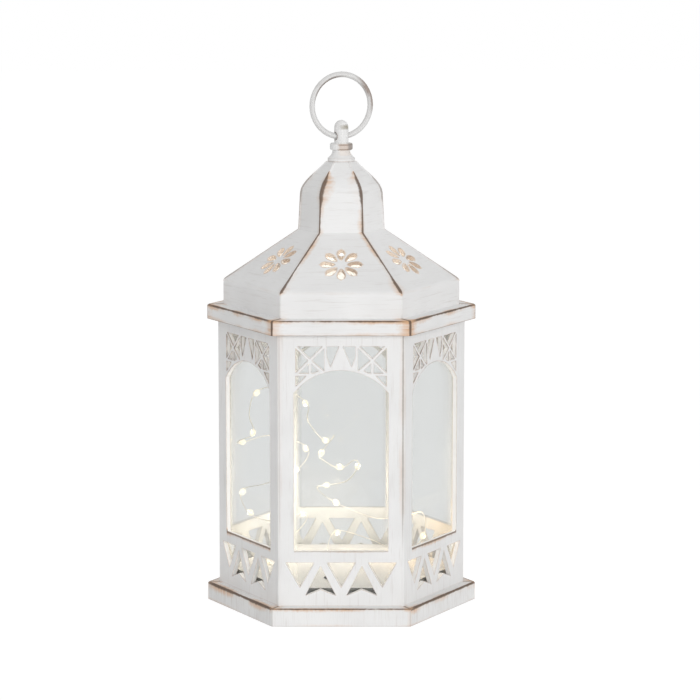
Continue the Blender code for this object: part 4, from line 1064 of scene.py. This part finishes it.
dress(floor_finish(), "chamber_floor")
dress(moulded("ivory_plastic_grained", IVORY, IVORY_DULL), "battery_housing", "battery_cover")
dress(moulded("black_plastic_grained", BLACK, BLACK_DULL), "switch_knob")
dress(moulded("black_rubber_matt", RUBBER, RUBBER_DULL, rough=(0.62, 0.78)), "grommet")
dress(battery_finish(), "battery_1", "battery_2", "battery_3")
dress(board_finish(), "circuit_board")
dress(plated(), *named("base_screw_", "finial_screw", "power_switch", "contact_"))

# Floor, world and lamps

FLOOR_SIZE = 4.0
FLOOR_DROP = 0.0002  # below the plinth, so that the two don't touch
FLOOR_PAINT = 0.90
FLOOR_GLOW = 0.90  # of white, where the camera sees the floor
FLOOR_SHADE = 0.17  # share of the real light and shadow that shows there
WORLD_LIGHT = 0.60
KEY_TURN = math.radians(16.0)
KEY_LIFT = math.radians(13.5)
KEY_DISTANCE = 4.0
KEY_SIZE = 1.6
KEY_POWER = 3.56 * KEY_DISTANCE**2  # so that its light on the lantern stays the same at any distance
GLOW_TINT = (1.0, 0.93, 0.82)
WARM_TINT = (1.0, 0.84, 0.62)
AMBER_TINT = (1.0, 0.62, 0.26)
GLOW_RADIUS = 0.006

# Places inside the chamber, and the power and tint of each, for the light that the string gives
GLOWS = [
    ((-0.026, 0.026, 0.056), 0.042, GLOW_TINT),
    ((0.000, 0.028, 0.054), 0.031, GLOW_TINT),
    ((0.024, 0.026, 0.056), 0.023, GLOW_TINT),
    ((-0.018, -0.014, 0.070), 0.022, GLOW_TINT),
    ((0.014, -0.016, 0.068), 0.012, GLOW_TINT),
    ((-0.018, 0.008, 0.114), 0.017, GLOW_TINT),
    ((0.008, 0.022, 0.124), 0.018, GLOW_TINT),
    ((0.000, 0.000, 0.165), 0.020, GLOW_TINT),
    ((0.000, 0.000, 0.205), 0.003, GLOW_TINT),
    ((0.037, 0.010, 0.040), 0.016, AMBER_TINT),
    ((-0.038, 0.010, 0.036), 0.009, WARM_TINT),
]


def seen_directly(tree):
    """1 for rays from the camera, for reflections and for what shows through glass."""
    path = tree.nodes.new("ShaderNodeLightPath")
    shown = path.outputs["Is Camera Ray"]
    for name in ("Is Glossy Ray", "Is Transmission Ray"):
        either = tree.nodes.new("ShaderNodeMath")
        either.operation = "MAXIMUM"
        tree.links.new(shown, either.inputs[0])
        tree.links.new(path.outputs[name], either.inputs[1])
        shown = either.outputs[0]
    return shown


def grey(level):
    return (level, level, level)


def make_floor():
    """Pale floor that shows as the white background, with the lantern's faint shadow on it."""
    work = bmesh.new()
    bmesh.ops.create_grid(work, x_segments=1, y_segments=1, size=FLOOR_SIZE)
    floor = object_of("studio_floor", mesh_of("studio_floor", work, smooth=False))
    floor.location = upward(-FLOOR_DROP)
    g = Graph("studio_floor_paint")
    g.set(Base_Color=grey(FLOOR_PAINT), Roughness=0.9)
    white = g.add("ShaderNodeEmission", {"Color": WHITE, "Strength": FLOOR_GLOW})
    part = g.add("ShaderNodeBsdfDiffuse", {"Color": grey(FLOOR_SHADE)})
    both = g.add("ShaderNodeAddShader", {0: white.outputs[0], 1: part.outputs[0]})
    seen = seen_directly(g.tree)
    mixed = g.add("ShaderNodeMixShader", {0: seen, 1: g.shader.outputs[0], 2: both.outputs[0]})
    g.put(g.output.inputs["Surface"], mixed.outputs[0])
    dress(g, floor)


def make_world():
    """White all round, and dimmer as a light than as it is seen."""
    world = bpy.data.worlds.new("studio")
    world.use_nodes = True
    bpy.context.scene.world = world
    tree = world.node_tree
    background = tree.nodes["Background"]
    background.inputs["Color"].default_value = (*WHITE, 1.0)
    level = tree.nodes.new("ShaderNodeMapRange")
    level.inputs["To Min"].default_value = WORLD_LIGHT
    level.inputs["To Max"].default_value = 1.0
    tree.links.new(seen_directly(tree), level.inputs["Value"])
    tree.links.new(level.outputs[0], background.inputs["Strength"])


def make_key():
    """Large soft light from the front, a little to the right."""
    flat = math.cos(KEY_LIFT)
    way = Vector((math.sin(KEY_TURN) * flat, -math.cos(KEY_TURN) * flat, math.sin(KEY_LIFT)))
    data = bpy.data.lights.new("key_softbox", "AREA")
    data.shape = "SQUARE"
    data.size = KEY_SIZE
    data.energy = KEY_POWER
    lamp = object_of("key_softbox", data)
    lamp.location = upward(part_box("roof")[0].z) + way * KEY_DISTANCE
    lamp.rotation_euler = (-way).to_track_quat("-Z", "Y").to_euler()


def make_glows():
    """Small lamps in the chamber, which neither the camera nor reflections show."""
    for k, (place, power, tint) in enumerate(GLOWS):
        data = bpy.data.lights.new("string_glow_" + str(k + 1), "POINT")
        data.energy = power
        data.color = tint
        data.shadow_soft_size = GLOW_RADIUS
        lamp = object_of(data.name, data)
        lamp.location = place
        lamp.visible_camera = False
        lamp.visible_glossy = False


make_floor()
make_world()
make_key()
make_glows()

bpy.context.scene.view_settings.view_transform = "Standard"
